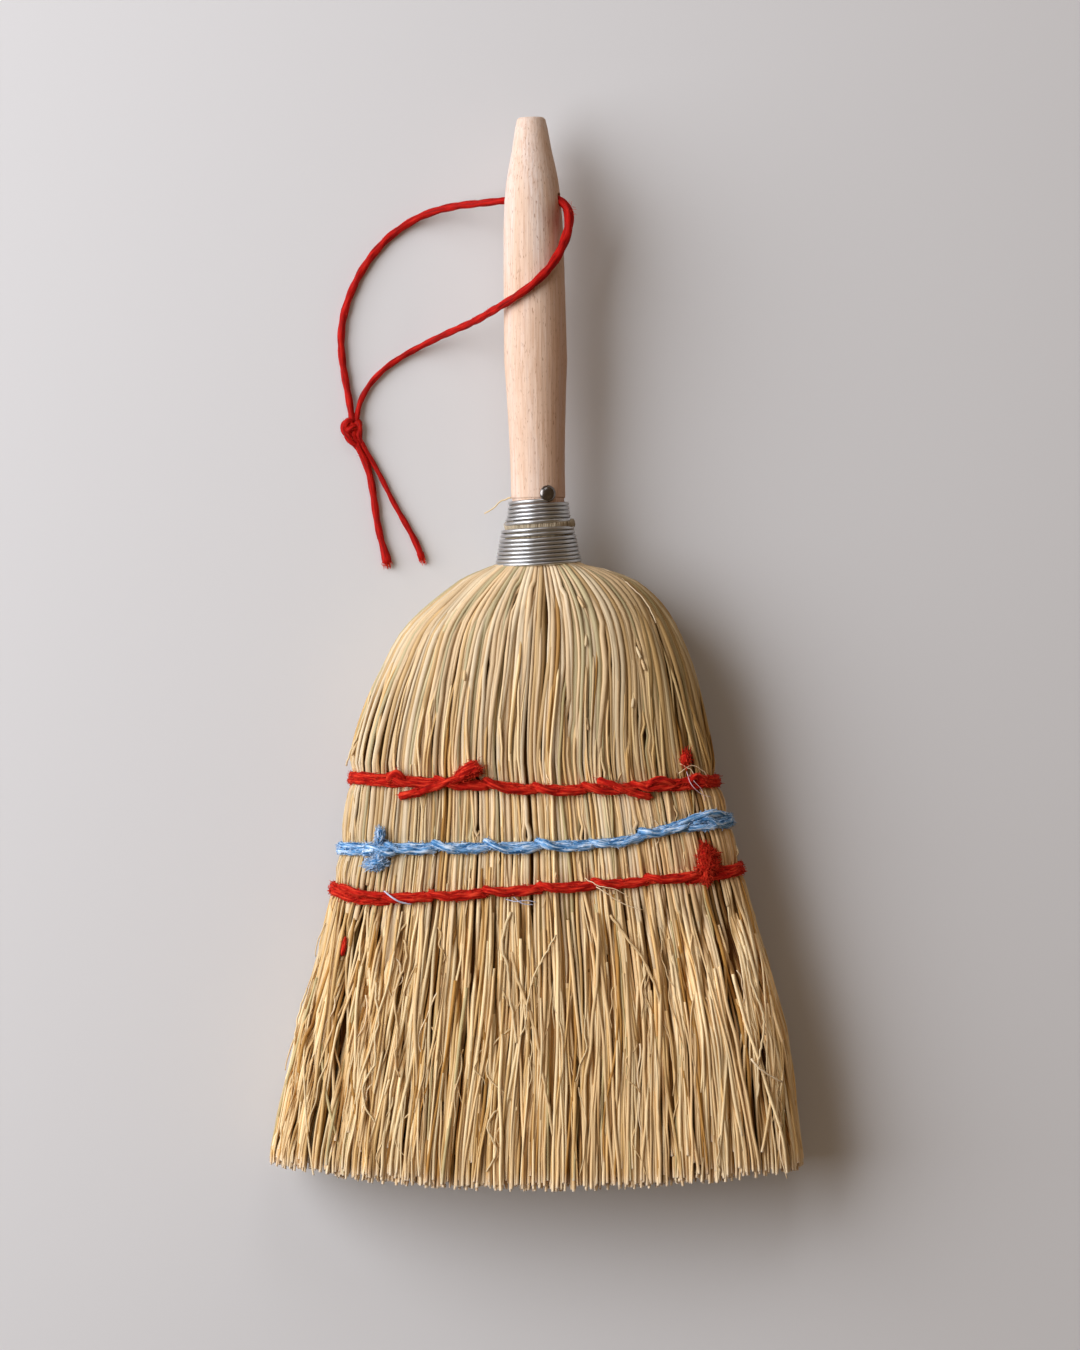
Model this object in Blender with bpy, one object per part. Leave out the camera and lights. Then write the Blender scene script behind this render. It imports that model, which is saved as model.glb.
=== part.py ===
"""Straw hand brush: a turned handle, hanks of straw bound with wire and sewn in three rows, and a cord loop.

The brush lies on its back. +X is its right, +Y runs towards the handle's end, +Z is up, and the floor is at
z = 0. The origin is under the middle of its length. Lengths are in metres.
"""

import math
import random
from collections import namedtuple

import bmesh
import bpy
from mathutils import Vector

MM = 0.001

# Overall sizes
BRUSH_LENGTH = 350 * MM
GRIP_LENGTH = 124.8 * MM  # wood that shows above the wire
CLEARANCE = 0.3 * MM  # between pieces that touch on the real brush
OVERRUN = 5 * MM  # how far a cutter runs past what it cuts

# Handle
HANDLE_RADIUS = 10.3 * MM
HANDLE_END_RADIUS = 4.7 * MM
HANDLE_END_CHAMFER = 0.6 * MM
HANDLE_LEAN = math.radians(1.08)  # the handle sits a little crooked in the straw
HANDLE_FOOT_X = 1.05 * MM
WIRE_SEAT_RADIUS = 8.5 * MM
WIRE_SEAT_LENGTH = 8.2 * MM  # wound wood between the grip and the straw's cut ends
WIRE_SEAT_STEP = 0.5 * MM
SPIGOT_LENGTH = 20 * MM
SPIGOT_END_RADIUS = 6 * MM
SPIGOT_END_ROUND = 1.5 * MM
HANDLE_SIDES = 36
# (share of the grip from its end, share of the handle's radius)
HANDLE_PROFILE_SHARES = (
    (0.031, 0.525),
    (0.082, 0.625),
    (0.125, 0.735),
    (0.165, 0.825),
    (0.215, 0.895),
    (0.290, 0.945),
    (0.400, 0.970),
    (0.520, 0.985),
    (0.640, 1.000),
    (0.715, 0.950),
    (0.800, 0.905),
    (0.880, 0.872),
    (0.940, 0.860),
)

# Cross hole for the cord
CORD_HOLE_DIAMETER = 4 * MM
CORD_HOLE_FROM_END = 26.8 * MM
CORD_HOLE_TILT = math.radians(15)  # its right mouth is the higher one
CORD_HOLE_SIDES = 16

# Nail
NAIL_HEAD_DIAMETER = 4.8 * MM
NAIL_HEAD_HEIGHT = 1.3 * MM
NAIL_HEAD_EDGE = 0.35 * MM
NAIL_SHANK_DIAMETER = 1.6 * MM
NAIL_SHANK_LENGTH = 7 * MM
NAIL_POINT_LENGTH = 2 * MM
NAIL_ANGLE = math.radians(19.5)  # round the handle, from the front towards the right
NAIL_SIDES = 16
NAIL_DOME_STEPS = 4

# Binding wire
WIRE_DIAMETER = 0.9 * MM
WIRE_PITCH = 1.41 * MM
WIRE_TURNS_ON_WOOD = 4.4
WIRE_TURNS = 13.1
WIRE_STEP_TURNS = 0.9  # the part of a turn that crosses the straw's cut ends
WIRE_STEP_LENGTH = 2.4 * MM  # what that crossing adds to the pitch
WIRE_CLIMB_TURNS = 0.5
WIRE_POINTS_A_TURN = 24
WIRE_BACKED_OFF = 0.35 * MM  # keeps the first turn inside its seat

# Straw
BINDING_LENGTH = 14.8 * MM  # straw under the wire
COLLAR_TOP_RADIUS = 11.3 * MM
COLLAR_FOOT_RADIUS = 12.85 * MM
SHOULDER_LENGTH = 38 * MM
SHOULDER_HALF_WIDTH = 54 * MM
STRAW_HALF_THICKNESS = 20.5 * MM  # at the shoulder and at the free ends
FLAT_CUT = 0.5 * MM  # how far the underside is cut flat where it rests
ROW_ZONE_LENGTH = 51 * MM  # flat, sewn stretch
ROW_ZONE_DROP = 27 * MM  # from the shoulder's foot to the sewn stretch
ROW_ZONE_TOP_HALF_WIDTH = 60 * MM
ROOT_HALF_WIDTH = 69 * MM
FLARE_HALF_WIDTH = 81.6 * MM
FLARE_DROP = 42 * MM  # from the roots to where the flare eases off
TIP_HALF_WIDTH = 87.4 * MM
TIP_CORNER_RISE = 9 * MM  # the free ends lie on an arc
SIDE_SHARE = 0.22  # of the half width that one side hank takes
SIDE_NECK_ANGLE = math.radians(20)
SIDE_CORE_SHARE = 0.2
HANKS_A_FACE = 6
STALKS_A_HANK = 5
FLUTE_DEPTH = 0.9 * MM
EDGE_FLUTE_DEPTH = 1.7 * MM
NECK_GAP = 0.4 * MM  # between hanks at the binding
ROW_GAP = 2 * MM  # between hanks where the twine goes through
TIP_GAP = 1.2 * MM
SPREAD_LENGTH = 34 * MM  # over which the hanks turn from a ring into two layers
SPREAD_START = 8 * MM  # below the binding
STRAND_NECK_SHARE = 0.12  # place along a strand where its groove ends
STRAND_NECK_WIDTH_SHARE = 0.8
STRAND_TIP_WIDTH_SHARE = 0.42
STRAND_CENTRE_SHARE = 0.1
STRAND_SKIN_POWER = 4
STRAND_UNEVENNESS = 3 * MM
STRAND_SEED = 7
# (share of the shoulder's length, share of its spread, share of its swelling, squareness, drift as a share of
# the tip's half width)
SHOULDER_SHARES = (
    (0.11, 0.36, 0.41, 2.1, 0.030),
    (0.30, 0.60, 0.68, 2.2, 0.026),
    (0.50, 0.77, 0.86, 2.4, 0.012),
    (0.75, 0.91, 0.96, 2.6, -0.008),
)
SHOULDER_DRIFT_SHARE = -0.020
ROW_DRIFT_SHARE = -0.040
ROOT_DRIFT_SHARE = -0.025
FLARE_DRIFT_SHARE = -0.028
TIP_DRIFT_SHARE = -0.055
ROUND_SQUARENESS = 2
SHOULDER_SQUARENESS = 2.8
FLAT_SQUARENESS = 3.2

# Twine
TWINE_DIAMETER = 2.4 * MM
TWINE_PULLED_DIAMETER = 1.3 * MM  # where it is drawn through the straw
TWINE_ENDS_APART = 0.6 * MM
BAND_POINTS = 44
BAND_SAMPLES = 720
STITCH_STEPS = 4
# Depth of each row below the straw's cut ends, at its left end, its middle and its right end
ROW_DEPTHS = {
    "upper": (82.1 * MM, 87.0 * MM, 83.7 * MM),
    "middle": (106.7 * MM, 105.4 * MM, 98.0 * MM),
    "lower": (118.1 * MM, 120.7 * MM, 113.2 * MM),
}

# Cord
CORD_DIAMETER = 2.5 * MM
CORD_SPACING = 3.7 * MM
KNOT_WIDTH = 7.4 * MM
KNOT_LENGTH = 8.2 * MM
KNOT_HEIGHT = 6.6 * MM
KNOT_PLACE = (-59.9 * MM, 72.6 * MM)
KNOT_SIDES = 14
KNOT_RINGS = 8
# From the knot round the left, through the hole, over the handle's front and back to the knot
LOOP_ROUTE = (
    (-61.7 * MM, 77.4 * MM, 3.3 * MM),
    (-61.9 * MM, 81.0 * MM, 2.3 * MM),
    (-62.9 * MM, 87.5 * MM, 1.5 * MM),
    (-63.7 * MM, 95.0 * MM, 1.4 * MM),
    (-64.0 * MM, 103.0 * MM, 1.4 * MM),
    (-63.0 * MM, 110.5 * MM, 1.4 * MM),
    (-60.3 * MM, 118.0 * MM, 1.4 * MM),
    (-56.2 * MM, 125.6 * MM, 1.4 * MM),
    (-51.4 * MM, 132.3 * MM, 1.4 * MM),
    (-45.8 * MM, 137.9 * MM, 1.5 * MM),
    (-39.4 * MM, 142.0 * MM, 2.3 * MM),
    (-32.4 * MM, 144.8 * MM, 5.1 * MM),
    (-25.6 * MM, 146.5 * MM, 9.4 * MM),
    (-18.9 * MM, 147.5 * MM, 13.8 * MM),
    (-12.6 * MM, 147.9 * MM, 16.8 * MM),
    (-6.6 * MM, 148.1 * MM, 18.5 * MM),
    (-0.8 * MM, 148.2 * MM, 20.0 * MM),
    (5.0 * MM, 148.3 * MM, 21.6 * MM),
    (10.4 * MM, 148.3 * MM, 23.2 * MM),
    (13.7 * MM, 146.9 * MM, 24.5 * MM),
    (15.2 * MM, 143.6 * MM, 25.8 * MM),
    (14.5 * MM, 139.6 * MM, 26.7 * MM),
    (12.1 * MM, 135.7 * MM, 27.4 * MM),
    (9.3 * MM, 132.1 * MM, 28.5 * MM),
    (6.4 * MM, 128.6 * MM, 30.1 * MM),
    (3.2 * MM, 125.0 * MM, 31.4 * MM),
    (-0.8 * MM, 121.2 * MM, 32.1 * MM),
    (-5.2 * MM, 117.9 * MM, 31.3 * MM),
    (-9.8 * MM, 115.0 * MM, 28.3 * MM),
    (-14.0 * MM, 112.3 * MM, 23.8 * MM),
    (-18.2 * MM, 110.0 * MM, 18.6 * MM),
    (-22.6 * MM, 107.8 * MM, 13.3 * MM),
    (-27.4 * MM, 105.4 * MM, 8.5 * MM),
    (-32.7 * MM, 102.8 * MM, 4.8 * MM),
    (-38.3 * MM, 99.9 * MM, 2.5 * MM),
    (-43.8 * MM, 96.8 * MM, 1.6 * MM),
    (-49.0 * MM, 93.2 * MM, 1.5 * MM),
    (-53.6 * MM, 88.6 * MM, 1.6 * MM),
    (-56.8 * MM, 83.2 * MM, 2.2 * MM),
    (-58.0 * MM, 77.4 * MM, 3.3 * MM),
)
LEFT_TAIL_ROUTE = (
    (-60.3 * MM, 67.6 * MM, 2.6 * MM),
    (-58.2 * MM, 63.2 * MM, 1.8 * MM),
    (-55.6 * MM, 57.2 * MM, 1.4 * MM),
    (-53.9 * MM, 50.6 * MM, 1.4 * MM),
    (-52.8 * MM, 43.6 * MM, 1.4 * MM),
    (-51.0 * MM, 36.6 * MM, 1.4 * MM),
    (-48.8 * MM, 28.8 * MM, 1.4 * MM),
)
RIGHT_TAIL_ROUTE = (
    (-56.9 * MM, 68.0 * MM, 2.6 * MM),
    (-54.6 * MM, 63.6 * MM, 1.8 * MM),
    (-51.4 * MM, 57.8 * MM, 1.4 * MM),
    (-48.4 * MM, 51.4 * MM, 1.4 * MM),
    (-45.2 * MM, 45.2 * MM, 1.4 * MM),
    (-41.3 * MM, 38.4 * MM, 1.4 * MM),
    (-37.0 * MM, 31.6 * MM, 1.4 * MM),
)
ROUTE_SAMPLES = 24

# Places worked out from the sizes above
AXIS_HEIGHT = STRAW_HALF_THICKNESS - FLAT_CUT
GRIP_FOOT_Y = BRUSH_LENGTH / 2 - GRIP_LENGTH
STRAW_TOP_Y = GRIP_FOOT_Y - WIRE_SEAT_LENGTH
COLLAR_FOOT_Y = STRAW_TOP_Y - BINDING_LENGTH
SHOULDER_FOOT_Y = COLLAR_FOOT_Y - SHOULDER_LENGTH
ROW_ZONE_TOP_Y = SHOULDER_FOOT_Y - ROW_ZONE_DROP
ROOT_Y = ROW_ZONE_TOP_Y - ROW_ZONE_LENGTH
TIP_Y = -BRUSH_LENGTH / 2
SPIGOT_END_Y = STRAW_TOP_Y - SPIGOT_LENGTH
WIRE_START_Y = GRIP_FOOT_Y - WIRE_DIAMETER / 2 - WIRE_BACKED_OFF
NAIL_Y = WIRE_START_Y + WIRE_DIAMETER / 2 + CLEARANCE + NAIL_HEAD_DIAMETER / 2
# The two layers of twine on the sewn straw end just above the floor, so nothing but straw touches it
ROW_HALF_THICKNESS = AXIS_HEIGHT - 2 * TWINE_DIAMETER - 3 * CLEARANCE


def ease(share):
    """A smooth step from 0 to 1."""
    share = min(max(share, 0), 1)
    return share * share * (3 - 2 * share)


def between(start, end, share):
    return start + (end - start) * share


def material(name, colour, roughness, metallic=0):
    made = bpy.data.materials.new(name)
    made.use_nodes = True
    shader = made.node_tree.nodes["Principled BSDF"]
    shader.inputs["Base Color"].default_value = (*colour, 1)
    shader.inputs["Roughness"].default_value = roughness
    shader.inputs["Metallic"].default_value = metallic
    return made


def put(name, data, finish, parent=None):
    """Link new data as a named object with its finish, under a parent if there is one."""
    made = bpy.data.objects.new(name, data)
    bpy.context.collection.objects.link(made)
    data.materials.append(finish)
    made.parent = parent
    return made


def empty(name, place, rotation, parent=None):
    made = bpy.data.objects.new(name, None)
    bpy.context.collection.objects.link(made)
    made.location = place
    made.rotation_euler = rotation
    made.parent = parent
    return made


def mesh_from(bm, name, smooth_below=0):
    """The finished mesh of a bmesh, with its faces turned out and edges under an angle shaded smooth."""
    bmesh.ops.recalc_face_normals(bm, faces=bm.faces)
    data = bpy.data.meshes.new(name)
    bm.to_mesh(data)
    bm.free()
    if smooth_below:
        data.shade_smooth()
        data.set_sharp_from_angle(angle=smooth_below)
    return data


def turned(name, profile, sides, axis):
    """A closed mesh spun from (radius, place along the axis) points that start and end on the axis."""
    across = Vector((1, 0, 0))
    bm = bmesh.new()
    corners = [bm.verts.new(across * radius + axis * place) for radius, place in profile]
    edges = [bm.edges.new(pair) for pair in zip(corners, corners[1:])]
    bmesh.ops.spin(
        bm, geom=corners + edges, cent=(0, 0, 0), axis=axis, angle=math.tau, steps=sides, use_merge=True
    )
    bmesh.ops.remove_doubles(bm, verts=bm.verts, dist=MM * MM)
    return mesh_from(bm, name, math.radians(35))


# Handle, nail and wire. They are made upright in the leaning handle's own frame: +Y along it from the grip's foot.


def handle_profile():
    """(radius, height) points from the handle's end down to the spigot's end."""
    end = GRIP_LENGTH
    points = [(0, end), (HANDLE_END_RADIUS - HANDLE_END_CHAMFER, end)]
    points.append((HANDLE_END_RADIUS, end - HANDLE_END_CHAMFER))
    points += [(HANDLE_RADIUS * wide, end - GRIP_LENGTH * down) for down, wide in HANDLE_PROFILE_SHARES]
    points.append((HANDLE_RADIUS * HANDLE_PROFILE_SHARES[-1][1], WIRE_SEAT_STEP))
    points.append((WIRE_SEAT_RADIUS, 0))
    points.append((WIRE_SEAT_RADIUS, STRAW_TOP_Y - GRIP_FOOT_Y))
    spigot_end = SPIGOT_END_Y - GRIP_FOOT_Y
    points.append((SPIGOT_END_RADIUS, spigot_end + SPIGOT_END_ROUND))
    points.append((SPIGOT_END_RADIUS - SPIGOT_END_ROUND, spigot_end))
    points.append((0, spigot_end))
    return points


def hole_axis():
    """The cord hole's direction in the handle's frame, from its left mouth to its right one."""
    return Vector((math.cos(CORD_HOLE_TILT), 0, math.sin(CORD_HOLE_TILT)))


def nail_axis():
    """The nail's direction in the handle's frame, out of the wood."""
    return Vector((math.sin(NAIL_ANGLE), 0, math.cos(NAIL_ANGLE)))


def round_cutter(name, diameter, start, end, sides):
    """A hidden cylinder from start to end."""
    bm = bmesh.new()
    bmesh.ops.create_cone(
        bm,
        cap_ends=True,
        segments=sides,
        radius1=diameter / 2,
        radius2=diameter / 2,
        depth=(end - start).length,
    )
    made = bpy.data.objects.new(name, mesh_from(bm, name))
    bpy.context.collection.objects.link(made)
    made.location = (start + end) / 2
    made.rotation_euler = (end - start).to_track_quat("Z", "Y").to_euler()
    made.hide_render = True
    made.display_type = "WIRE"
    return made


def cut(target, cutter):
    """Cut a hole in target; the cutter shares its parent."""
    cutter.parent = target.parent
    modifier = target.modifiers.new(cutter.name, "BOOLEAN")
    modifier.operation = "DIFFERENCE"
    modifier.solver = "EXACT"
    modifier.object = cutter


def make_handle(axis, beech):
    handle = put("handle", turned("handle", handle_profile(), HANDLE_SIDES, Vector((0, 1, 0))), beech, axis)
    middle = Vector((0, GRIP_LENGTH - CORD_HOLE_FROM_END, 0))
    reach = hole_axis() * (HANDLE_RADIUS + OVERRUN)
    cut(handle, round_cutter("cord_hole", CORD_HOLE_DIAMETER, middle - reach, middle + reach, CORD_HOLE_SIDES))
    out = nail_axis()
    seat = Vector((0, NAIL_Y - GRIP_FOOT_Y, 0))
    deep = seat + out * (nail_seat_radius() - NAIL_SHANK_LENGTH - CLEARANCE)
    pilot = NAIL_SHANK_DIAMETER + 2 * CLEARANCE
    cut(handle, round_cutter("nail_hole", pilot, deep, seat + out * (HANDLE_RADIUS + OVERRUN), NAIL_SIDES))


def nail_seat_radius():
    """How far from the handle's axis the underside of the nail's head lies."""
    return HANDLE_RADIUS * HANDLE_PROFILE_SHARES[-1][1] + CLEARANCE


def make_nail(axis, dark_steel):
    head, shank = NAIL_HEAD_DIAMETER / 2, NAIL_SHANK_DIAMETER / 2
    profile = [(0, -NAIL_SHANK_LENGTH), (shank, NAIL_POINT_LENGTH - NAIL_SHANK_LENGTH), (shank, 0), (head, 0)]
    dome = NAIL_HEAD_HEIGHT - NAIL_HEAD_EDGE
    for step in range(NAIL_DOME_STEPS):
        turn = math.pi / 2 * step / NAIL_DOME_STEPS
        profile.append((head * math.cos(turn), NAIL_HEAD_EDGE + dome * math.sin(turn)))
    profile.append((0, NAIL_HEAD_HEIGHT))
    nail = put("binding_nail", turned("binding_nail", profile, NAIL_SIDES, Vector((0, 0, 1))), dark_steel, axis)
    nail.location = nail_axis() * nail_seat_radius() + Vector((0, NAIL_Y - GRIP_FOOT_Y, 0))
    nail.rotation_euler = (0, NAIL_ANGLE, 0)


def wire_points():
    """The winding's centre line in the handle's frame, from the nail down to its end at the back."""
    points = []
    for step in range(round(WIRE_TURNS * WIRE_POINTS_A_TURN) + 1):
        turn = step / WIRE_POINTS_A_TURN
        crossed = ease((turn - WIRE_TURNS_ON_WOOD) / WIRE_STEP_TURNS)
        y = WIRE_START_Y - WIRE_PITCH * turn - WIRE_STEP_LENGTH * crossed
        climbed = ease((turn - WIRE_TURNS_ON_WOOD + WIRE_CLIMB_TURNS) / WIRE_CLIMB_TURNS)
        under = between(WIRE_SEAT_RADIUS, collar_radius(y), climbed)
        radius = under + CLEARANCE + WIRE_DIAMETER / 2
        angle = NAIL_ANGLE - math.tau * turn
        points.append(Vector((radius * math.sin(angle), y - GRIP_FOOT_Y, radius * math.cos(angle))))
    return points


def least_gap(points, diameter, skip):
    """The least distance between a tube's own surfaces, past skip points along it."""
    nearest = min(
        (first - second).length
        for place, first in enumerate(points)
        for second in points[place + skip :]
    )
    return nearest - diameter


def make_wire(axis, steel):
    points = wire_points()
    gap = least_gap(points, WIRE_DIAMETER, WIRE_POINTS_A_TURN // 2)
    print(f"binding wire: {WIRE_TURNS} turns, least gap to itself {gap / MM:.2f} mm")
    put("binding_wire", tube("binding_wire", points, WIRE_DIAMETER, 1), steel, axis)


def tube(name, points, diameter, resolution, widths=None):
    """A capped tube along points; widths, if given, scale its diameter at each point."""
    curve = bpy.data.curves.new(name, "CURVE")
    curve.dimensions = "3D"
    curve.bevel_depth = diameter / 2
    curve.bevel_resolution = resolution
    curve.use_fill_caps = True
    curve.render_resolution_u = 0
    spline = curve.splines.new("POLY")
    spline.points.add(len(points) - 1)
    for corner, point in zip(spline.points, points):
        corner.co = (*point, 1)
    for corner, width in zip(spline.points, widths or ()):
        corner.radius = width
    spline.use_smooth = True
    return curve


# Straw. Every point of it is read from the brush's cross section at some y.

Section = namedtuple("Section", "y half_width half_thickness squareness drift")


def sections():
    """The cross sections from the straw's cut ends down to the tips; straight in between."""
    swell = STRAW_HALF_THICKNESS - COLLAR_FOOT_RADIUS
    spread = SHOULDER_HALF_WIDTH - COLLAR_FOOT_RADIUS
    rows = [
        Section(STRAW_TOP_Y, COLLAR_TOP_RADIUS, COLLAR_TOP_RADIUS, ROUND_SQUARENESS, 0),
        Section(COLLAR_FOOT_Y, COLLAR_FOOT_RADIUS, COLLAR_FOOT_RADIUS, ROUND_SQUARENESS, 0),
    ]
    for down, wider, thicker, squareness, drift in SHOULDER_SHARES:
        y = COLLAR_FOOT_Y - SHOULDER_LENGTH * down
        wide = COLLAR_FOOT_RADIUS + spread * wider
        thick = COLLAR_FOOT_RADIUS + swell * thicker
        rows.append(Section(y, wide, thick, squareness, TIP_HALF_WIDTH * drift))
    for y, wide, thick, squareness, drift in (
        (SHOULDER_FOOT_Y, SHOULDER_HALF_WIDTH, STRAW_HALF_THICKNESS, SHOULDER_SQUARENESS, SHOULDER_DRIFT_SHARE),
        (ROW_ZONE_TOP_Y, ROW_ZONE_TOP_HALF_WIDTH, ROW_HALF_THICKNESS, FLAT_SQUARENESS, ROW_DRIFT_SHARE),
        (ROOT_Y, ROOT_HALF_WIDTH, ROW_HALF_THICKNESS, FLAT_SQUARENESS, ROOT_DRIFT_SHARE),
        (ROOT_Y - FLARE_DROP, FLARE_HALF_WIDTH, None, FLAT_SQUARENESS, FLARE_DRIFT_SHARE),
        (TIP_Y, TIP_HALF_WIDTH, STRAW_HALF_THICKNESS, FLAT_SQUARENESS, TIP_DRIFT_SHARE),
    ):
        if thick is None:
            thick = between(ROW_HALF_THICKNESS, STRAW_HALF_THICKNESS, FLARE_DROP / (ROOT_Y - TIP_Y))
        rows.append(Section(y, wide, thick, squareness, TIP_HALF_WIDTH * drift))
    return rows


SECTIONS = sections()


def section(y):
    """The cross section at y."""
    for above, below in zip(SECTIONS, SECTIONS[1:]):
        if y >= below.y:
            break
    share = min(max((above.y - y) / (above.y - below.y), 0), 1)
    return Section(*(between(top, bottom, share) for top, bottom in zip(above, below)))


def axis_x(y):
    """Where the leaning handle's axis lies at y."""
    return HANDLE_FOOT_X - (y - GRIP_FOOT_Y) * math.tan(HANDLE_LEAN)


def centre_x(y):
    return axis_x(y) + section(y).drift


def collar_radius(y):
    return section(min(y, STRAW_TOP_Y)).half_width


def spigot_bore(y):
    """The radius of the room for the handle's spigot, which goes on narrowing below it."""
    taper = (WIRE_SEAT_RADIUS - SPIGOT_END_RADIUS) / (SPIGOT_LENGTH - SPIGOT_END_ROUND)
    return max(WIRE_SEAT_RADIUS - (STRAW_TOP_Y - y) * taper, 0) + CLEARANCE


def spread_share(y):
    """0 where the hanks stand in a ring round the spigot, 1 where they lie in two flat layers."""
    return ease((COLLAR_FOOT_Y - SPREAD_START - y) / SPREAD_LENGTH)


def gap_between(y):
    """The gap between neighbouring hanks."""
    if y > ROOT_Y:
        return between(NECK_GAP, ROW_GAP, ease((COLLAR_FOOT_Y - y) / SHOULDER_LENGTH))
    return between(ROW_GAP, TIP_GAP, (ROOT_Y - y) / (ROOT_Y - TIP_Y))


def column_share(boundary):
    """Where a boundary between hanks lies over the flat straw, as a share of the half width."""
    return (1 - SIDE_SHARE) * (2 * boundary / HANKS_A_FACE - 1)


def neck_angle(boundary):
    """The same boundary's angle round the spigot, from the right."""
    return between(math.pi - SIDE_NECK_ANGLE, SIDE_NECK_ANGLE, boundary / HANKS_A_FACE)


def power(base, exponent):
    """A power that keeps the sign of its base."""
    return math.copysign(abs(base) ** exponent, base)


def skin_height(across, y):
    """The straw's half thickness at a share of its half width."""
    here = section(y)
    return here.half_thickness * max(1 - abs(across) ** here.squareness, 0) ** (1 / here.squareness)


# A hank of a face has its first boundary, and face 1 at the front or -1 at the back. A side hank has side 1 or -1.
Hank = namedtuple("Hank", "name first face side")


def boundary_share(boundary, y):
    return between(math.cos(neck_angle(boundary)), column_share(boundary), spread_share(y))


def skin_point(hank, across, y):
    """A point of the hank's outer skin, across it from 0 to 1, as (x, z) about the brush's axis."""
    here = section(y)
    if not hank.side:
        share = boundary_share(hank.first + across, y)
        return Vector((centre_x(y) + here.half_width * share, hank.face * skin_height(share, y)))
    edge = math.acos(boundary_share(HANKS_A_FACE, y) ** (here.squareness / 2))
    turn = edge * (1 - 2 * across)
    wide = here.half_width * power(math.cos(turn), 2 / here.squareness)
    high = here.half_thickness * power(math.sin(turn), 2 / here.squareness)
    return Vector((centre_x(y) + hank.side * wide, high))


def core_point(hank, across, y):
    """The point of the hank's inner side that faces skin_point. Round the spigot it keeps to the handle's axis."""
    here, flat, bore = section(y), spread_share(y), spigot_bore(y)
    centre = axis_x(y) + here.drift * flat
    if not hank.side:
        angle = neck_angle(hank.first + across)
        x = between(bore * math.cos(angle), here.half_width * column_share(hank.first + across), flat)
        return Vector((centre + x, hank.face * between(bore * math.sin(angle), NECK_GAP / 2, flat)))
    angle = SIDE_NECK_ANGLE * (1 - 2 * across)
    x = between(bore * math.cos(angle), here.half_width * (1 - SIDE_SHARE), flat)
    z = between(bore * math.sin(angle), NECK_GAP / 2 * (1 - 2 * across), flat)
    return Vector((centre + hank.side * x, z))


def edge_shift(hank, edge, y):
    """How far the hank's edge stands back from its boundary, half the gap to its neighbour."""
    skin = skin_point(hank, edge, y)
    line = skin - core_point(hank, edge, y)
    sideways = Vector((line.y, -line.x)).normalized()
    inward = skin_point(hank, 1 / 2, y) - skin
    return sideways * math.copysign(gap_between(y) / 2, sideways.dot(inward))


def straw_point(hank, across, depth, y, sunk=0):
    """A point of the hank: across it, from its core at depth 0 to its skin at 1, and sunk below that."""
    core, skin = core_point(hank, across, y), skin_point(hank, across, y)
    if hank.side and depth < 1 / 2:
        depth = between(SIDE_CORE_SHARE * spread_share(y), 1 / 2, 2 * depth)
    point = core.lerp(skin, depth) - (skin - core).normalized() * sunk
    point += edge_shift(hank, 0, y) * max(1 - 2 * across, 0)
    point += edge_shift(hank, 1, y) * max(2 * across - 1, 0)
    return Vector((point.x, y, point.y + AXIS_HEIGHT))


def flute(step, y):
    """How deep the skin is grooved at a step across the hank: between its stalks, and deeper at its edges."""
    if step % 2:
        return 0
    full = EDGE_FLUTE_DEPTH if step in (0, 2 * STALKS_A_HANK) else FLUTE_DEPTH
    return full * ease((COLLAR_FOOT_Y - y) / (SHOULDER_LENGTH / 2))


def ring_places(y):
    """(across, depth, sunk) round a hank: over its skin, down one edge, along its core and up the other edge."""
    steps = 2 * STALKS_A_HANK
    places = [(step / steps, 1, flute(step, y)) for step in range(steps + 1)]
    places.append((1, 1 / 2, 0))
    places += [(1 - stalk / STALKS_A_HANK, 0, 0) for stalk in range(STALKS_A_HANK + 1)]
    places.append((0, 1 / 2, 0))
    return places


def strand_roots():
    """The triangles of the hank's end that each carry a strand, as (across, depth, step or None) corners."""
    triangles = []
    for stalk in range(STALKS_A_HANK):
        left, right = stalk / STALKS_A_HANK, (stalk + 1) / STALKS_A_HANK
        core_left, core_right = (left, 0, None), (right, 0, None)
        mid_left, mid_right = (left, 1 / 2, None), (right, 1 / 2, None)
        skin_left, skin_right = (left, 1, 2 * stalk), (right, 1, 2 * stalk + 2)
        peak = ((left + right) / 2, 1, 2 * stalk + 1)
        triangles += [
            (core_left, core_right, mid_right),
            (core_left, mid_right, mid_left),
            (mid_left, mid_right, peak),
            (mid_right, skin_right, peak),
            (mid_left, peak, skin_left),
        ]
    return triangles


def tip_y(x):
    """The free ends' arc."""
    return TIP_Y + TIP_CORNER_RISE * (x / TIP_HALF_WIDTH) ** 2


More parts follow.
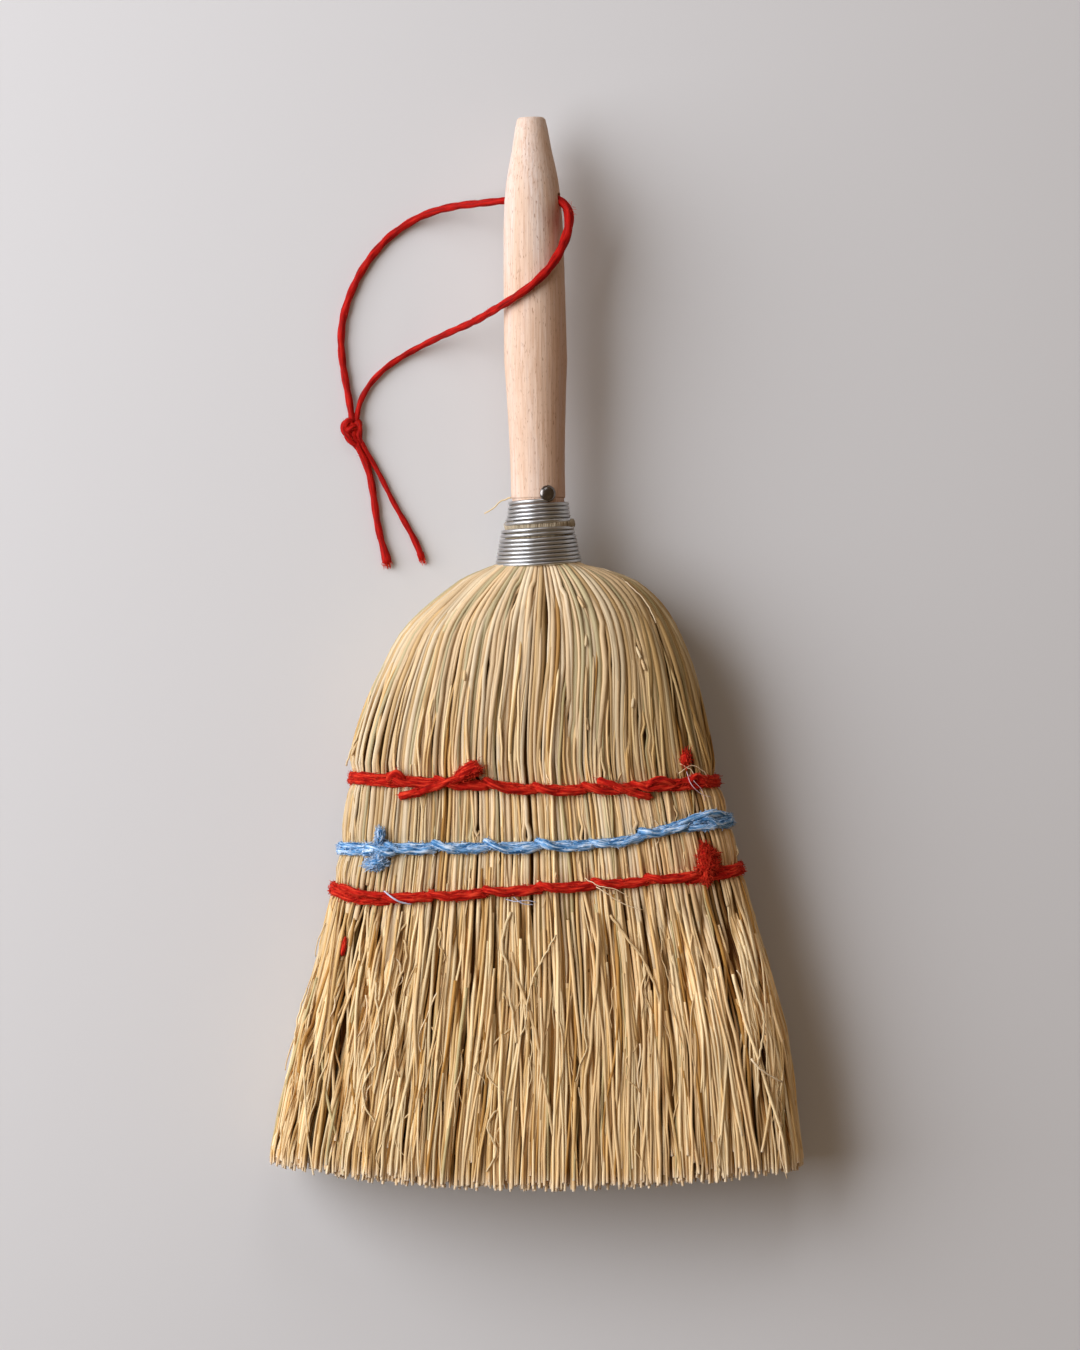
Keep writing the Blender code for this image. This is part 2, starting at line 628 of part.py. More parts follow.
def grow_strands(bm, hank, end_ring, chance):
    """A three-sided strand on each triangle of the hank's end, fused to it and tapering to the arc of the tips."""
    known = {}
    for vertex, (across, depth, _) in zip(end_ring, ring_places(ROOT_Y)):
        known[round(across * STALKS_A_HANK * 2), depth] = vertex

    def root_vertex(across, depth):
        key = round(across * STALKS_A_HANK * 2), depth
        if key not in known:
            known[key] = bm.verts.new(straw_point(hank, across, depth, ROOT_Y))
        return known[key]

    for corners in strand_roots():
        # a strand narrows towards its outermost corner, so that the tips keep the straw's full outline
        weights = [STRAND_CENTRE_SHARE + corner[1] ** STRAND_SKIN_POWER for corner in corners]
        across = sum(corner[0] * weight for corner, weight in zip(corners, weights)) / sum(weights)
        depth = sum(corner[1] * weight for corner, weight in zip(corners, weights)) / sum(weights)
        end = tip_y(straw_point(hank, across, depth, TIP_Y).x) + chance.random() * STRAND_UNEVENNESS
        above = [root_vertex(corner[0], corner[1]) for corner in corners]
        for share, width in ((STRAND_NECK_SHARE, STRAND_NECK_WIDTH_SHARE), (1, STRAND_TIP_WIDTH_SHARE)):
            y = between(ROOT_Y, end, share)
            middle = straw_point(hank, across, depth, y)
            below = []
            for corner_across, corner_depth, step in corners:
                sunk = 0 if step is None else flute(step, y)
                corner = straw_point(hank, corner_across, corner_depth, y, sunk)
                below.append(bm.verts.new(middle.lerp(corner, width)))
            for side in range(3):
                bm.faces.new((above[side], above[side - 1], below[side - 1], below[side]))
            above = below
        bm.faces.new(above)


def cut_flat(bm):
    """Cut what lies below the floor off flat."""
    bmesh.ops.triangulate(bm, faces=bm.faces)
    made = bmesh.ops.bisect_plane(
        bm,
        geom=bm.verts[:] + bm.edges[:] + bm.faces[:],
        plane_co=(0, 0, 0),
        plane_no=(0, 0, -1),
        clear_outer=True,
    )
    open_edges = [part for part in made["geom_cut"] if isinstance(part, bmesh.types.BMEdge)]
    bmesh.ops.holes_fill(bm, edges=open_edges)


def make_hank(hank, straw, chance):
    bm = bmesh.new()
    rings = []
    for here in SECTIONS:
        if here.y < ROOT_Y:
            break
        places = ring_places(here.y)
        rings.append([bm.verts.new(straw_point(hank, *place[:2], here.y, place[2])) for place in places])
    for upper, lower in zip(rings, rings[1:]):
        for side in range(len(upper)):
            bm.faces.new((upper[side - 1], upper[side], lower[side], lower[side - 1]))
    bm.faces.new(rings[0])
    grow_strands(bm, hank, rings[-1], chance)
    bmesh.ops.recalc_face_normals(bm, faces=bm.faces)
    cut_flat(bm)
    put(hank.name, mesh_from(bm, hank.name, math.radians(40)), straw)


def hanks():
    """The six hanks of each face and one at each side."""
    made = []
    for face, side_name in ((1, "front"), (-1, "back")):
        made += [Hank(f"{side_name}_hank_{count + 1}", count, face, 0) for count in range(HANKS_A_FACE)]
    return made + [Hank("left_side_hank", 0, 0, -1), Hank("right_side_hank", 0, 0, 1)]


# Twine: each row has a band round the straw and a stitching that winds over the band through the gaps.


def row_y(row, across):
    """The row's height at a share of the half width."""
    left, middle, right = ROW_DEPTHS[row]
    lean, bow = (right - left) / 2, (left + right) / 2 - middle
    return STRAW_TOP_Y - middle - lean * across - bow * across**2


def even_points(points, count):
    """Pick count points, close together where the line turns and wide apart where it runs straight."""
    lengths = [(second - first).length for first, second in zip(points, points[1:])]
    turns = [0] + [
        (second - first).angle(third - second)
        for first, second, third in zip(points, points[1:], points[2:])
    ]
    total_length, total_turn = sum(lengths), sum(turns)
    picked, passed = [points[0]], 0
    for point, length, turn in zip(points[1:], lengths, turns):
        passed += length / total_length / 2 + turn / total_turn / 2
        if passed >= len(picked) / (count - 1):
            picked.append(point)
    return picked


def make_band(row, twine):
    """Twine once round the straw, its two ends at the left edge."""
    stand_off = CLEARANCE + TWINE_DIAMETER / 2
    points = []
    for step in range(1, BAND_SAMPLES):
        turn = math.pi - math.tau * step / BAND_SAMPLES
        exponent = 2 / FLAT_SQUARENESS
        wide, high = power(math.cos(turn), exponent), power(math.sin(turn), exponent)
        y = row_y(row, wide)
        here = section(y)
        x = centre_x(y) + (here.half_width + stand_off) * wide
        points.append(Vector((x, y, AXIS_HEIGHT + (here.half_thickness + stand_off) * high)))
    apart = [point for point in points if abs(point.z - AXIS_HEIGHT) >= TWINE_ENDS_APART / 2 or point.x > 0]
    put(f"{row}_row_band", tube(f"{row}_row_band", even_points(apart, BAND_POINTS), TWINE_DIAMETER, 1), twine)


def stitch_points(row, first, last, start, end, face):
    """(point, width) along one stitch over the band, from boundary to boundary; start and end are the sides
    of the band, 1 above it and -1 below, where it leaves and enters the gaps."""
    points = []
    for step in range(STITCH_STEPS + 1):
        share = step / STITCH_STEPS
        turn = math.pi * share if start != end else math.pi / 2 * (1 - math.cos(math.tau * share)) / 2
        diameter = between(TWINE_PULLED_DIAMETER, TWINE_DIAMETER, math.sin(turn))
        reach = TWINE_DIAMETER / 2 + CLEARANCE + diameter / 2
        across = column_share(between(first, last, share))
        y = row_y(row, across) + start * reach * math.cos(turn)
        height = skin_height(across, y) + CLEARANCE + TWINE_DIAMETER / 2 + reach * math.sin(turn)
        x = centre_x(y) + section(y).half_width * across
        points.append((Vector((x, y, AXIS_HEIGHT + face * height)), diameter / TWINE_DIAMETER))
    return points


def make_stitching(row, twine):
    """One twine sewn to the right and back, over and under each hank in turn."""
    run, face, side = [], 1, 1
    for boundary in range(HANKS_A_FACE):
        run += stitch_points(row, boundary, boundary + 1, side, -side, face)
        face, side = -face, -side
    side = -side
    for boundary in range(HANKS_A_FACE, 0, -1):
        run += stitch_points(row, boundary, boundary - 1, side, -side, face)
        face, side = -face, -side
    first, last = run[0], run[-1]
    run.insert(0, (Vector((first[0].x, first[0].y, AXIS_HEIGHT)), first[1]))
    run.append((Vector((last[0].x, last[0].y, AXIS_HEIGHT)), last[1]))
    points, widths = zip(*run)
    put(f"{row}_row_stitching", tube(f"{row}_row_stitching", points, TWINE_DIAMETER, 0, widths), twine)


# Cord. It swings about the cross hole, so its pieces hang from an empty on the hole's axis.


def smooth_route(route):
    """Points close together on a smooth curve through the route's own."""
    places = [Vector(place) for place in route]
    places = [2 * places[0] - places[1], *places, 2 * places[-1] - places[-2]]
    fine = []
    for before, start, end, after in zip(places, places[1:], places[2:], places[3:]):
        for step in range(ROUTE_SAMPLES):
            share = step / ROUTE_SAMPLES
            fine.append(
                (
                    start * 2
                    + (end - before) * share
                    + (before * 2 - start * 5 + end * 4 - after) * share**2
                    + (start * 3 - before - end * 3 + after) * share**3
                )
                / 2
            )
    return [*fine, places[-2]]


def spaced(points, spacing):
    """Points at about an even spacing along a line, its ends kept."""
    length = sum((second - first).length for first, second in zip(points, points[1:]))
    count = max(round(length / spacing), 2)
    picked, passed = [points[0]], 0
    for first, second in zip(points, points[1:]):
        passed += (second - first).length
        if passed >= length * len(picked) / count and len(picked) < count:
            picked.append(second)
    return [*picked, points[-1]], length


def make_cord(axis, red):
    middle = (0, GRIP_LENGTH - CORD_HOLE_FROM_END, 0)
    pivot = empty("loop_pivot", middle, (0, -CORD_HOLE_TILT, 0), axis)
    bpy.context.view_layer.update()
    for name, route in (
        ("hanging_cord", LOOP_ROUTE),
        ("cord_tail_left", LEFT_TAIL_ROUTE),
        ("cord_tail_right", RIGHT_TAIL_ROUTE),
    ):
        points, length = spaced(smooth_route(route), CORD_SPACING)
        print(f"{name}: {length / MM:.1f} mm long")
        cord = put(name, tube(name, points, CORD_DIAMETER, 2), red, pivot)
        cord.matrix_parent_inverse = pivot.matrix_world.inverted()
    bm = bmesh.new()
    bmesh.ops.create_uvsphere(bm, u_segments=KNOT_SIDES, v_segments=KNOT_RINGS, radius=1)
    bmesh.ops.scale(bm, vec=Vector((KNOT_WIDTH, KNOT_LENGTH, KNOT_HEIGHT)) / 2, verts=bm.verts)
    knot = put("cord_knot", mesh_from(bm, "cord_knot", math.radians(50)), red, pivot)
    knot.matrix_parent_inverse = pivot.matrix_world.inverted()
    knot.location = (*KNOT_PLACE, KNOT_HEIGHT / 2)


def main():
    for old in list(bpy.data.objects):
        bpy.data.objects.remove(old, do_unlink=True)
    beech = material("raw_beech", (0.72, 0.53, 0.38), 0.6)
    steel = material("bright_steel_wire", (0.72, 0.72, 0.72), 0.3, 1)
    dark_steel = material("dark_steel_nail", (0.12, 0.10, 0.09), 0.45, 1)
    straw = material("broom_straw", (0.62, 0.47, 0.22), 0.65)
    red = material("red_twine", (0.62, 0.03, 0.06), 0.8)
    blue = material("blue_twine", (0.03, 0.12, 0.55), 0.8)

    axis = empty("handle_axis", (HANDLE_FOOT_X, GRIP_FOOT_Y, AXIS_HEIGHT), (0, 0, HANDLE_LEAN))
    make_handle(axis, beech)
    make_nail(axis, dark_steel)
    make_wire(axis, steel)
    chance = random.Random(STRAND_SEED)
    for hank in hanks():
        make_hank(hank, straw, chance)
    for row, twine in (("upper", red), ("middle", blue), ("lower", red)):
        make_band(row, twine)
        make_stitching(row, twine)
    make_cord(axis, red)


main()
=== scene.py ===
import math

import bpy
import numpy as np
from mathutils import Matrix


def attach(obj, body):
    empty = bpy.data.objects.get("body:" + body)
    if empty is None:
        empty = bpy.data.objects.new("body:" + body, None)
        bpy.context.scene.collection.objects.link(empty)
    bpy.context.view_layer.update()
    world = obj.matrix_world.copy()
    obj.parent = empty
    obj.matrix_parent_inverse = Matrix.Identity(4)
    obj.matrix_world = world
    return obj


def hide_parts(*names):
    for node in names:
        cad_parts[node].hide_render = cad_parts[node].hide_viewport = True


# Straw hand brush lying on its back: turned beech handle, steel wire binding, broom corn sewn in three rows,
# red cord. Lengths are millimetres in the CAD's own frame, and become metres where a mesh is made.

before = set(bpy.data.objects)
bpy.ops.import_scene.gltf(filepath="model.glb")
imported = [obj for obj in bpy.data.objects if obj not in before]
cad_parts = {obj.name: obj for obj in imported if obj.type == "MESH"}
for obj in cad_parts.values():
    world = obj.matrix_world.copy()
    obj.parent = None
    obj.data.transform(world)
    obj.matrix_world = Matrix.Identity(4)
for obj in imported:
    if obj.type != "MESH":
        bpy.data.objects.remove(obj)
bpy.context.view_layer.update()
mm = 0.001
chance = np.random.default_rng(11)


# Small tools

def hexColour(code):
    parts = [int(code[place:place + 2], 16) / 255 for place in (1, 3, 5)]
    return tuple(part / 12.92 if part <= 0.04045 else ((part + 0.055) / 1.055) ** 2.4 for part in parts)


def addNode(tree, kind, settings=None, links=None):
    made = tree.nodes.new(kind)
    for key, value in (settings or {}).items():
        if key == "stops":  # a colour ramp's places and colours
            while len(made.color_ramp.elements) < len(value):
                made.color_ramp.elements.new(1)
            for stop, (place, colour) in zip(made.color_ramp.elements, value):
                stop.position = place
                stop.color = (*hexColour(colour), 1)
        elif isinstance(key, int) or key in made.inputs:
            made.inputs[key].default_value = (*hexColour(value), 1) if isinstance(value, str) else value
        else:
            setattr(made, key, value)
    for key, source in (links or {}).items():
        tree.links.new(source, made.inputs[key])
    return made


def newMaterial(name, settings):
    material = bpy.data.materials.new(name)
    material.use_nodes = True
    tree = material.node_tree
    tree.nodes.clear()
    shader = addNode(tree, "ShaderNodeBsdfPrincipled", settings)
    addNode(tree, "ShaderNodeOutputMaterial", links={"Surface": shader.outputs[0]})
    return material, tree, shader


def grainOf(tree, source, wide, long, detail, roughness=0.5, slant=0.0, **more):
    # noise drawn out along a piece, so many mm wide and long
    scale = (1 / (wide * mm), 1 / (long * mm), 1 / (wide * mm))
    settings = {"Rotation": (0, 0, slant), "Scale": scale}
    drawn = addNode(tree, "ShaderNodeMapping", settings, {"Vector": source})
    noise = {"Scale": 1, "Detail": detail, "Roughness": roughness, **more}
    return addNode(tree, "ShaderNodeTexNoise", noise, {"Vector": drawn.outputs[0]}).outputs[0]


def layOver(tree, under, colour, cue, limits, strengths):
    # one more colour over the last, as strong as the cue makes it between its limits
    rise = dict(zip(("From Min", "From Max", "To Min", "To Max"), (*limits, *strengths)))
    mask = addNode(tree, "ShaderNodeMapRange", rise, {"Value": cue})
    laid = addNode(tree, "ShaderNodeMix", {"data_type": "RGBA", 7: colour}, {0: mask.outputs[0], 6: under})
    return laid.outputs[2]


def finishWith(tree, shader, colour, dull=None, relief=None):
    # dull: its cue and the roughness where that is low and high; relief: its cue, strength and depth in mm
    tree.links.new(colour, shader.inputs["Base Color"])
    if dull:
        cue, low, high = dull
        roughness = addNode(tree, "ShaderNodeMapRange", {"To Min": low, "To Max": high}, {"Value": cue})
        tree.links.new(roughness.outputs[0], shader.inputs["Roughness"])
    if relief:
        cue, strength, deep = relief
        bump = addNode(tree, "ShaderNodeBump", {"Strength": strength, "Distance": deep * mm}, {"Height": cue})
        tree.links.new(bump.outputs[0], shader.inputs["Normal"])


def yarnMaterial(name, look, colours, edge):
    # twisted yarn: pale loose fibres over darker furrows; a tone without alpha shows alone
    material, tree, shader = newMaterial(name, {"IOR": 1.5, "Sheen Tint": edge, **look["shader"]})
    strandUv = addNode(tree, "ShaderNodeUVMap", {"uv_map": "strand"})
    # fibres of about 0.1 mm are drawn nearly ten times coarser, so that they show
    fibres = grainOf(tree, strandUv.outputs[0], 0.9, 7, *look["fibres"], slant=look["slant"])
    ramp = addNode(tree, "ShaderNodeValToRGB", {"stops": list(zip(look["stops"], colours))}, {"Fac": fibres})
    toneOf = addNode(tree, "ShaderNodeAttribute", {"attribute_name": "tone"})
    shown = addNode(tree, "ShaderNodeMix", {"data_type": "RGBA"},
                    {0: toneOf.outputs["Alpha"], 6: toneOf.outputs["Color"], 7: ramp.outputs[0]})
    finishWith(tree, shader, shown.outputs[2], relief=(fibres, *look["relief"]))
    return material


def ease(share):
    share = np.clip(share, 0, 1)
    return share * share * (3 - 2 * share)


def rise(value, start, end):
    # eased from 0 where the value is at the start to 1 where it is at the end
    return ease((value - start) / (end - start))


def lerp(start, end, share):
    return start + (end - start) * share


def unit(vectors):
    return vectors / np.maximum(np.linalg.norm(vectors, axis=-1, keepdims=True), 1e-12)


def alongOf(points):
    steps = np.linalg.norm(np.diff(points, axis=0), axis=1)
    return np.concatenate([[0], np.cumsum(steps)])


def smoothRoute(route, spacing, soften=0):
    # Catmull-Rom through the route, evenly spaced, then relaxed a little
    p = np.asarray(route, float)
    p = np.vstack([2 * p[0] - p[1], p, 2 * p[-1] - p[-2]])
    t = np.linspace(0, 1, 24, endpoint=False)[:, None]
    runs = []
    for a, b, c, d in zip(p, p[1:], p[2:], p[3:]):
        square, cube = 2 * a - 5 * b + 4 * c - d, 3 * b - a - 3 * c + d
        runs.append((2 * b + (c - a) * t + square * t**2 + cube * t**3) / 2)
    fine = np.vstack([*runs, p[-2:-1]])
    along = alongOf(fine)
    count = max(int(round(along[-1] / spacing)), 2)
    even = np.linspace(0, along[-1], count + 1)
    made = np.stack([np.interp(even, along, fine[:, axis]) for axis in range(3)], 1)
    for _ in range(soften):
        made[1:-1] += (made[:-2] + made[2:] - 2 * made[1:-1]) * 0.25
    return made


def ringsOf(points, radii, sides, outward=None, flat=1.0, groove=0.0, twist=0.0):
    # rings of a tube: flat squeezes it towards the surface that it lies on, groove and twist make it two-ply
    points = np.asarray(points, float)
    tangent = unit(np.gradient(points, axis=0))
    if outward is None:
        normal = np.zeros_like(points)
        guess = np.array([0.0, 0.0, 1.0]) if abs(tangent[0, 2]) < 0.9 else np.array([1.0, 0.0, 0.0])
        normal[0] = unit(guess - tangent[0] * (guess @ tangent[0]))
        for place in range(1, len(points)):
            carried = normal[place - 1] - tangent[place] * (normal[place - 1] @ tangent[place])
            normal[place] = carried / max(np.linalg.norm(carried), 1e-12)
    else:
        normal = np.broadcast_to(outward, points.shape)
        normal = unit(normal - tangent * (normal * tangent).sum(1, keepdims=True))
    side = np.cross(tangent, normal)
    angle = math.tau * np.arange(sides) / sides
    reach = np.broadcast_to(np.asarray(radii, float)[..., None], (len(points), sides)).copy()
    if groove:
        turn = angle - (math.tau * alongOf(points) / twist)[:, None]
        apart = groove * np.abs(np.cos(turn))
        reach *= apart + np.sqrt((1 - groove) ** 2 - (groove * np.sin(turn)) ** 2)
    return (
        points[:, None]
        + side[:, None] * (np.cos(angle) * reach)[..., None]
        + normal[:, None] * (np.sin(angle) * reach * flat)[..., None]
    )


def addTube(heap, points, radii, sides, tone, plain=False, **shape):
    # plain: the material shows this tone alone and not its pattern
    points = np.asarray(points, float)
    radii = np.broadcast_to(np.asarray(radii, float), (len(points),))
    rings = ringsOf(points, radii, sides, **shape)
    rings[..., 2] = np.maximum(rings[..., 2], 0.03)  # nothing goes below the floor
    alpha = np.full((len(points), 1), 0.0 if plain else 1.0)
    heap.append({"rings": rings, "tone": np.hstack([np.broadcast_to(tone, (len(points), 3)), alpha]),
                 "along": alongOf(points), "round": math.tau * float(radii.mean())})


maps = {
    "strandApart": 3.7,  # mm between the places of two strands on the strand map
    "cellTall": 8,  # how many times taller than wide a strand's cell on the baking map is
    "cellFilled": (0.9, 0.94),
    "sideFrom": 0.04, "sideHigh": 0.92,  # shares of the height, with the caps of both ends beyond
    "capFrom": 0.018, "capApart": 0.964,
    "capSize": (0.3, 0.012),
}


def buildPiece(name, heap, material, body, replaced):
    # one mesh from a heap of capped tubes, with tones, a strand map in metres and a map for baking
    verts, loops, starts, tones, strandMap, bakeMap, smooth = [], [], [], [], [], [], []
    columns = math.ceil(math.sqrt(len(heap) * maps["cellTall"]))
    rows = math.ceil(len(heap) / columns)
    base = 0
    for count, tube in enumerate(heap):
        rings = tube["rings"]
        long, sides = rings.shape[:2]
        verts.append(rings.reshape(-1, 3))
        tones.append(np.repeat(tube["tone"], sides, axis=0))
        step, turn = np.divmod(np.arange((long - 1) * sides), sides)
        near, far, after = step * sides, (step + 1) * sides, (turn + 1) % sides
        quads = np.stack([near + turn, far + turn, far + after, near + after], 1)
        caps = np.stack([np.arange(sides), (long - 1) * sides + np.arange(sides)[::-1]])
        loops += [(quads + base).ravel(), (caps + base).ravel()]
        starts += [np.full(len(quads), 4), np.full(2, sides)]
        smooth += [np.ones(len(quads), bool), np.zeros(2, bool)]
        aside = count * maps["strandApart"]
        left, low = (count % columns) / columns, (count // columns) / rows
        wide, high = maps["cellFilled"][0] / columns, maps["cellFilled"][1] / rows
        share = tube["along"] / max(tube["along"][-1], 1e-9)
        around = np.stack([turn, turn, turn + 1, turn + 1], 1) / sides
        down = np.stack([step, step + 1, step + 1, step], 1)
        strand = np.stack([around * tube["round"] + aside, tube["along"][down]], -1)
        strandMap.append(strand.reshape(-1, 2) * mm)
        upCell = maps["sideFrom"] + maps["sideHigh"] * share[down]
        cell = np.stack([left + around * wide, low + high * upCell], -1)
        bakeMap.append(cell.reshape(-1, 2))
        angle = math.tau * np.arange(sides) / sides
        disc = np.stack([np.cos(angle), np.sin(angle)], 1)
        for end in (0, 1):
            strandMap.append((disc * tube["round"] / math.tau + [aside, 0]) * mm)
            middle = [left + wide / 2, low + high * (maps["capFrom"] + maps["capApart"] * end)]
            bakeMap.append(disc * [wide * maps["capSize"][0], high * maps["capSize"][1]] + middle)
        base += long * sides
    verts, loops, totals = np.concatenate(verts) * mm, np.concatenate(loops), np.concatenate(starts)
    mesh = bpy.data.meshes.new(name)
    mesh.vertices.add(len(verts))
    mesh.vertices.foreach_set("co", verts.astype(np.float32).ravel())
    mesh.loops.add(len(loops))
    mesh.loops.foreach_set("vertex_index", loops.astype(np.int32))
    mesh.polygons.add(len(totals))
    mesh.polygons.foreach_set("loop_start", np.concatenate([[0], np.cumsum(totals)[:-1]]).astype(np.int32))
    mesh.polygons.foreach_set("use_smooth", np.concatenate(smooth))
    mesh.update(calc_edges=True)
    for mapName, coordinates in (("OFBake", bakeMap), ("strand", strandMap)):
        layer = mesh.uv_layers.new(name=mapName)
        layer.data.foreach_set("uv", np.concatenate(coordinates).astype(np.float32).ravel())
    colour = mesh.attributes.new("tone", "FLOAT_COLOR", "POINT")
    colour.data.foreach_set("color", np.concatenate(tones).astype(np.float32).ravel())
    mesh.validate()
    mesh.materials.append(material)
    made = bpy.data.objects.new(name, mesh)
    bpy.context.scene.collection.objects.link(made)
    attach(made, body)
    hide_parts(*replaced)
    return made


# Camera: straight above, the handle at the top of the picture

camera = {
    "lens": 135,
    "sensor": 36,
    "pictureHeight": 442.0,  # at the height of the handle's axis
    "middle": (1.6, -7.4),
    "focusHeight": 20.0,
}
cameraAbove = camera["focusHeight"] + camera["pictureHeight"] / camera["sensor"] * camera["lens"]
cameraData = bpy.data.cameras.new("camera")
cameraData.lens = camera["lens"]
cameraData.sensor_width = camera["sensor"]
cameraData.clip_start, cameraData.clip_end = 0.05, 20
cameraObject = bpy.data.objects.new("camera", cameraData)
cameraObject.location = [part * mm for part in (*camera["middle"], cameraAbove)]
bpy.context.scene.collection.objects.link(cameraObject)
bpy.context.scene.camera = cameraObject
print("camera set", round(cameraAbove), "mm above the floor")


def placeSeen(points):
    # a point seen at x, y on the plane of the focus height moves along the camera's ray to its own height
    points = np.array(points, float)
    middle = np.array(camera["middle"])
    share = (cameraAbove - points[:, 2:]) / (cameraAbove - camera["focusHeight"])
    points[:, :2] = middle + (points[:, :2] - middle) * share
    return points


# Cord: red two-ply polyester yarn, twisted and lightly waxed, so it is smooth with soft pale edges

cord = {
    "diameter": 2.5,
    "twist": 15.0,  # one full turn of the two plies
    "groove": 0.17,
    "sides": 18,
    "spacing": 0.8,
    "colours": ("#6C0502", "#AE0D05", "#CE2411"),
    "edge": "#FF7A6C",  # stray filaments give the yarn its pale edge
    "fuzz": "#E04026",
    "look": {
        "shader": {"Roughness": 0.68, "Specular IOR Level": 0.13,
                   "Sheen Weight": 0.03, "Sheen Roughness": 0.4},
        "stops": (0.34, 0.52, 0.72), "fibres": (5, 0.66), "slant": 0.45, "relief": (0.45, 0.25),
    },
    # the CAD's loop from the middle of the cross hole to the knot, then the tails, as the camera sees them:
    # x and y at the focus height, then z
    "left": (
        (-0.8, 148.2, 20.0), (-6.6, 148.1, 18.5), (-12.2, 147.7, 17.0), (-18.0, 147.0, 14.0),
        (-24.0, 146.4, 10.2), (-30.6, 145.1, 6.2), (-36.5, 143.1, 3.4), (-41.6, 140.4, 2.0),
        (-47.5, 136.2, 1.45), (-52.4, 131.1, 1.4), (-56.6, 125.2, 1.4), (-59.9, 118.7, 1.4),
        (-62.2, 112.2, 1.4), (-63.4, 105.5, 1.4), (-63.4, 98.5, 1.4), (-62.4, 91.0, 1.4), (-61.4, 85.5, 1.5),
        (-60.4, 79.6, 1.9), (-59.8, 75.6, 2.2),
    ),
    "right": (
        (-0.8, 148.2, 20.0), (4.6, 148.4, 21.5), (8.0, 147.9, 22.6), (10.1, 146.2, 23.7), (11.1, 143.4, 25.0),
        (11.0, 139.6, 26.4), (9.8, 135.1, 27.8), (7.7, 130.5, 29.5), (4.9, 126.2, 30.9), (1.5, 122.6, 31.9),
        (-1.9, 119.6, 31.9), (-5.6, 117.0, 31.1), (-9.8, 114.3, 28.2), (-14.0, 111.8, 23.6),
        (-18.0, 109.4, 18.6), (-22.2, 107.3, 13.6), (-26.8, 105.3, 8.9), (-32.0, 102.9, 5.0),
        (-38.2, 99.8, 2.5), (-44.2, 96.4, 1.6), (-49.3, 92.8, 1.5), (-53.6, 88.4, 1.5), (-56.6, 83.6, 1.7),
        (-58.0, 79.2, 2.0), (-58.6, 75.6, 2.2),
    ),
    "leftTail": (
        (-58.3, 68.4, 2.0), (-56.7, 64.8, 1.6), (-54.9, 60.8, 1.4), (-53.6, 55.6, 1.4), (-52.7, 49.9, 1.4),
        (-51.8, 43.4, 1.4), (-50.5, 37.2, 1.4), (-49.0, 32.0, 1.5), (-48.3, 28.8, 1.6),
    ),
    "rightTail": (
        (-56.8, 68.6, 1.8), (-54.7, 64.8, 1.5), (-52.0, 60.2, 1.3), (-49.6, 55.6, 1.3), (-46.8, 49.9, 1.3),
        (-43.6, 44.2, 1.3), (-40.3, 38.4, 1.3), (-38.2, 34.0, 1.3), (-36.9, 30.2, 1.3),
    ),
    "exitLeft": (-9.8, 148.0, 17.6),
    "exitRight": (8.2, 148.4, 22.4),
    # share of a run, then the yarn's width there as a share of the diameter
    "leftWidths": ((0, 1.0), (0.3, 1.08), (0.7, 1.06), (1, 0.98)),
    "rightWidths": ((0, 1.1), (0.1, 1.35), (0.2, 1.3), (0.35, 1.12), (0.55, 1.05), (0.75, 0.88), (1, 0.78)),
    "leftTailWidths": ((0, 1.05), (0.5, 1.02), (1, 0.98)),
    "rightTailWidths": ((0, 0.72), (0.5, 0.7), (0.85, 0.9), (1, 0.85)),
    "rubbedAt": 14.5,  # mm along the right run, where the hole's mouth has rubbed it
    "flareReach": 3.4,  # mm before a cut end
    "roundedOver": 1.3,
    "looseLongest": 2.6,
}

# The tied knot: the strands of the pair come down between two lobes and leave together at the lower right
knot = {
    "middle": (-59.9, 72.85, 0.0),
    # places from its middle, then the yarn's radius at both ends
    "strands": (
        ((0.2, 2.5, 1.9), (-1.2, 2.8, 2.3), (-2.35, 1.7, 2.5), (-2.3, -0.6, 2.3), (-1.2, -2.6, 2.8),
         (0.4, -4.4, 2.4), (1.8, -5.8, 1.6), (1.6, 1.15)),
        ((0.9, 2.5, 1.8), (1.9, 2.8, 2.1), (2.6, 1.5, 2.3), (2.4, -0.8, 2.2), (2.6, -3.0, 1.9),
         (3.4, -5.2, 1.5), (1.3, 0.95)),
        ((-2.4, -1.0, 1.5), (-1.2, -0.4, 2.6), (0.4, 0.5, 3.0), (1.9, 1.1, 1.9), (1.25, 1.2)),
        ((0.2, 3.2, 1.7), (0.3, 0.6, 1.9), (0.5, -1.6, 2.0), (1.3, -3.6, 1.9), (2.0, -4.8, 1.6), (1.5, 1.1)),
        ((-1.2, 1.6, 2.1), (-1.2, -0.4, 2.3), (-0.5, -2.4, 1.9), (0.5, -3.8, 1.6), (1.5, 1.0)),
    ),
    "groove": 0.26,
    "twist": 9.0,
    "spacing": 0.45,
}

cordRed = yarnMaterial("twistedPolyesterCord", cord["look"], cord["colours"], cord["edge"])


def addHair(heap, start, end, wobble, radii, tone):
    # one loose fibre, bent a little
    middle = (start + end) / 2 + chance.normal(0, wobble, 3)
    addTube(heap, [start, middle, end], radii, 3, tone, plain=True)


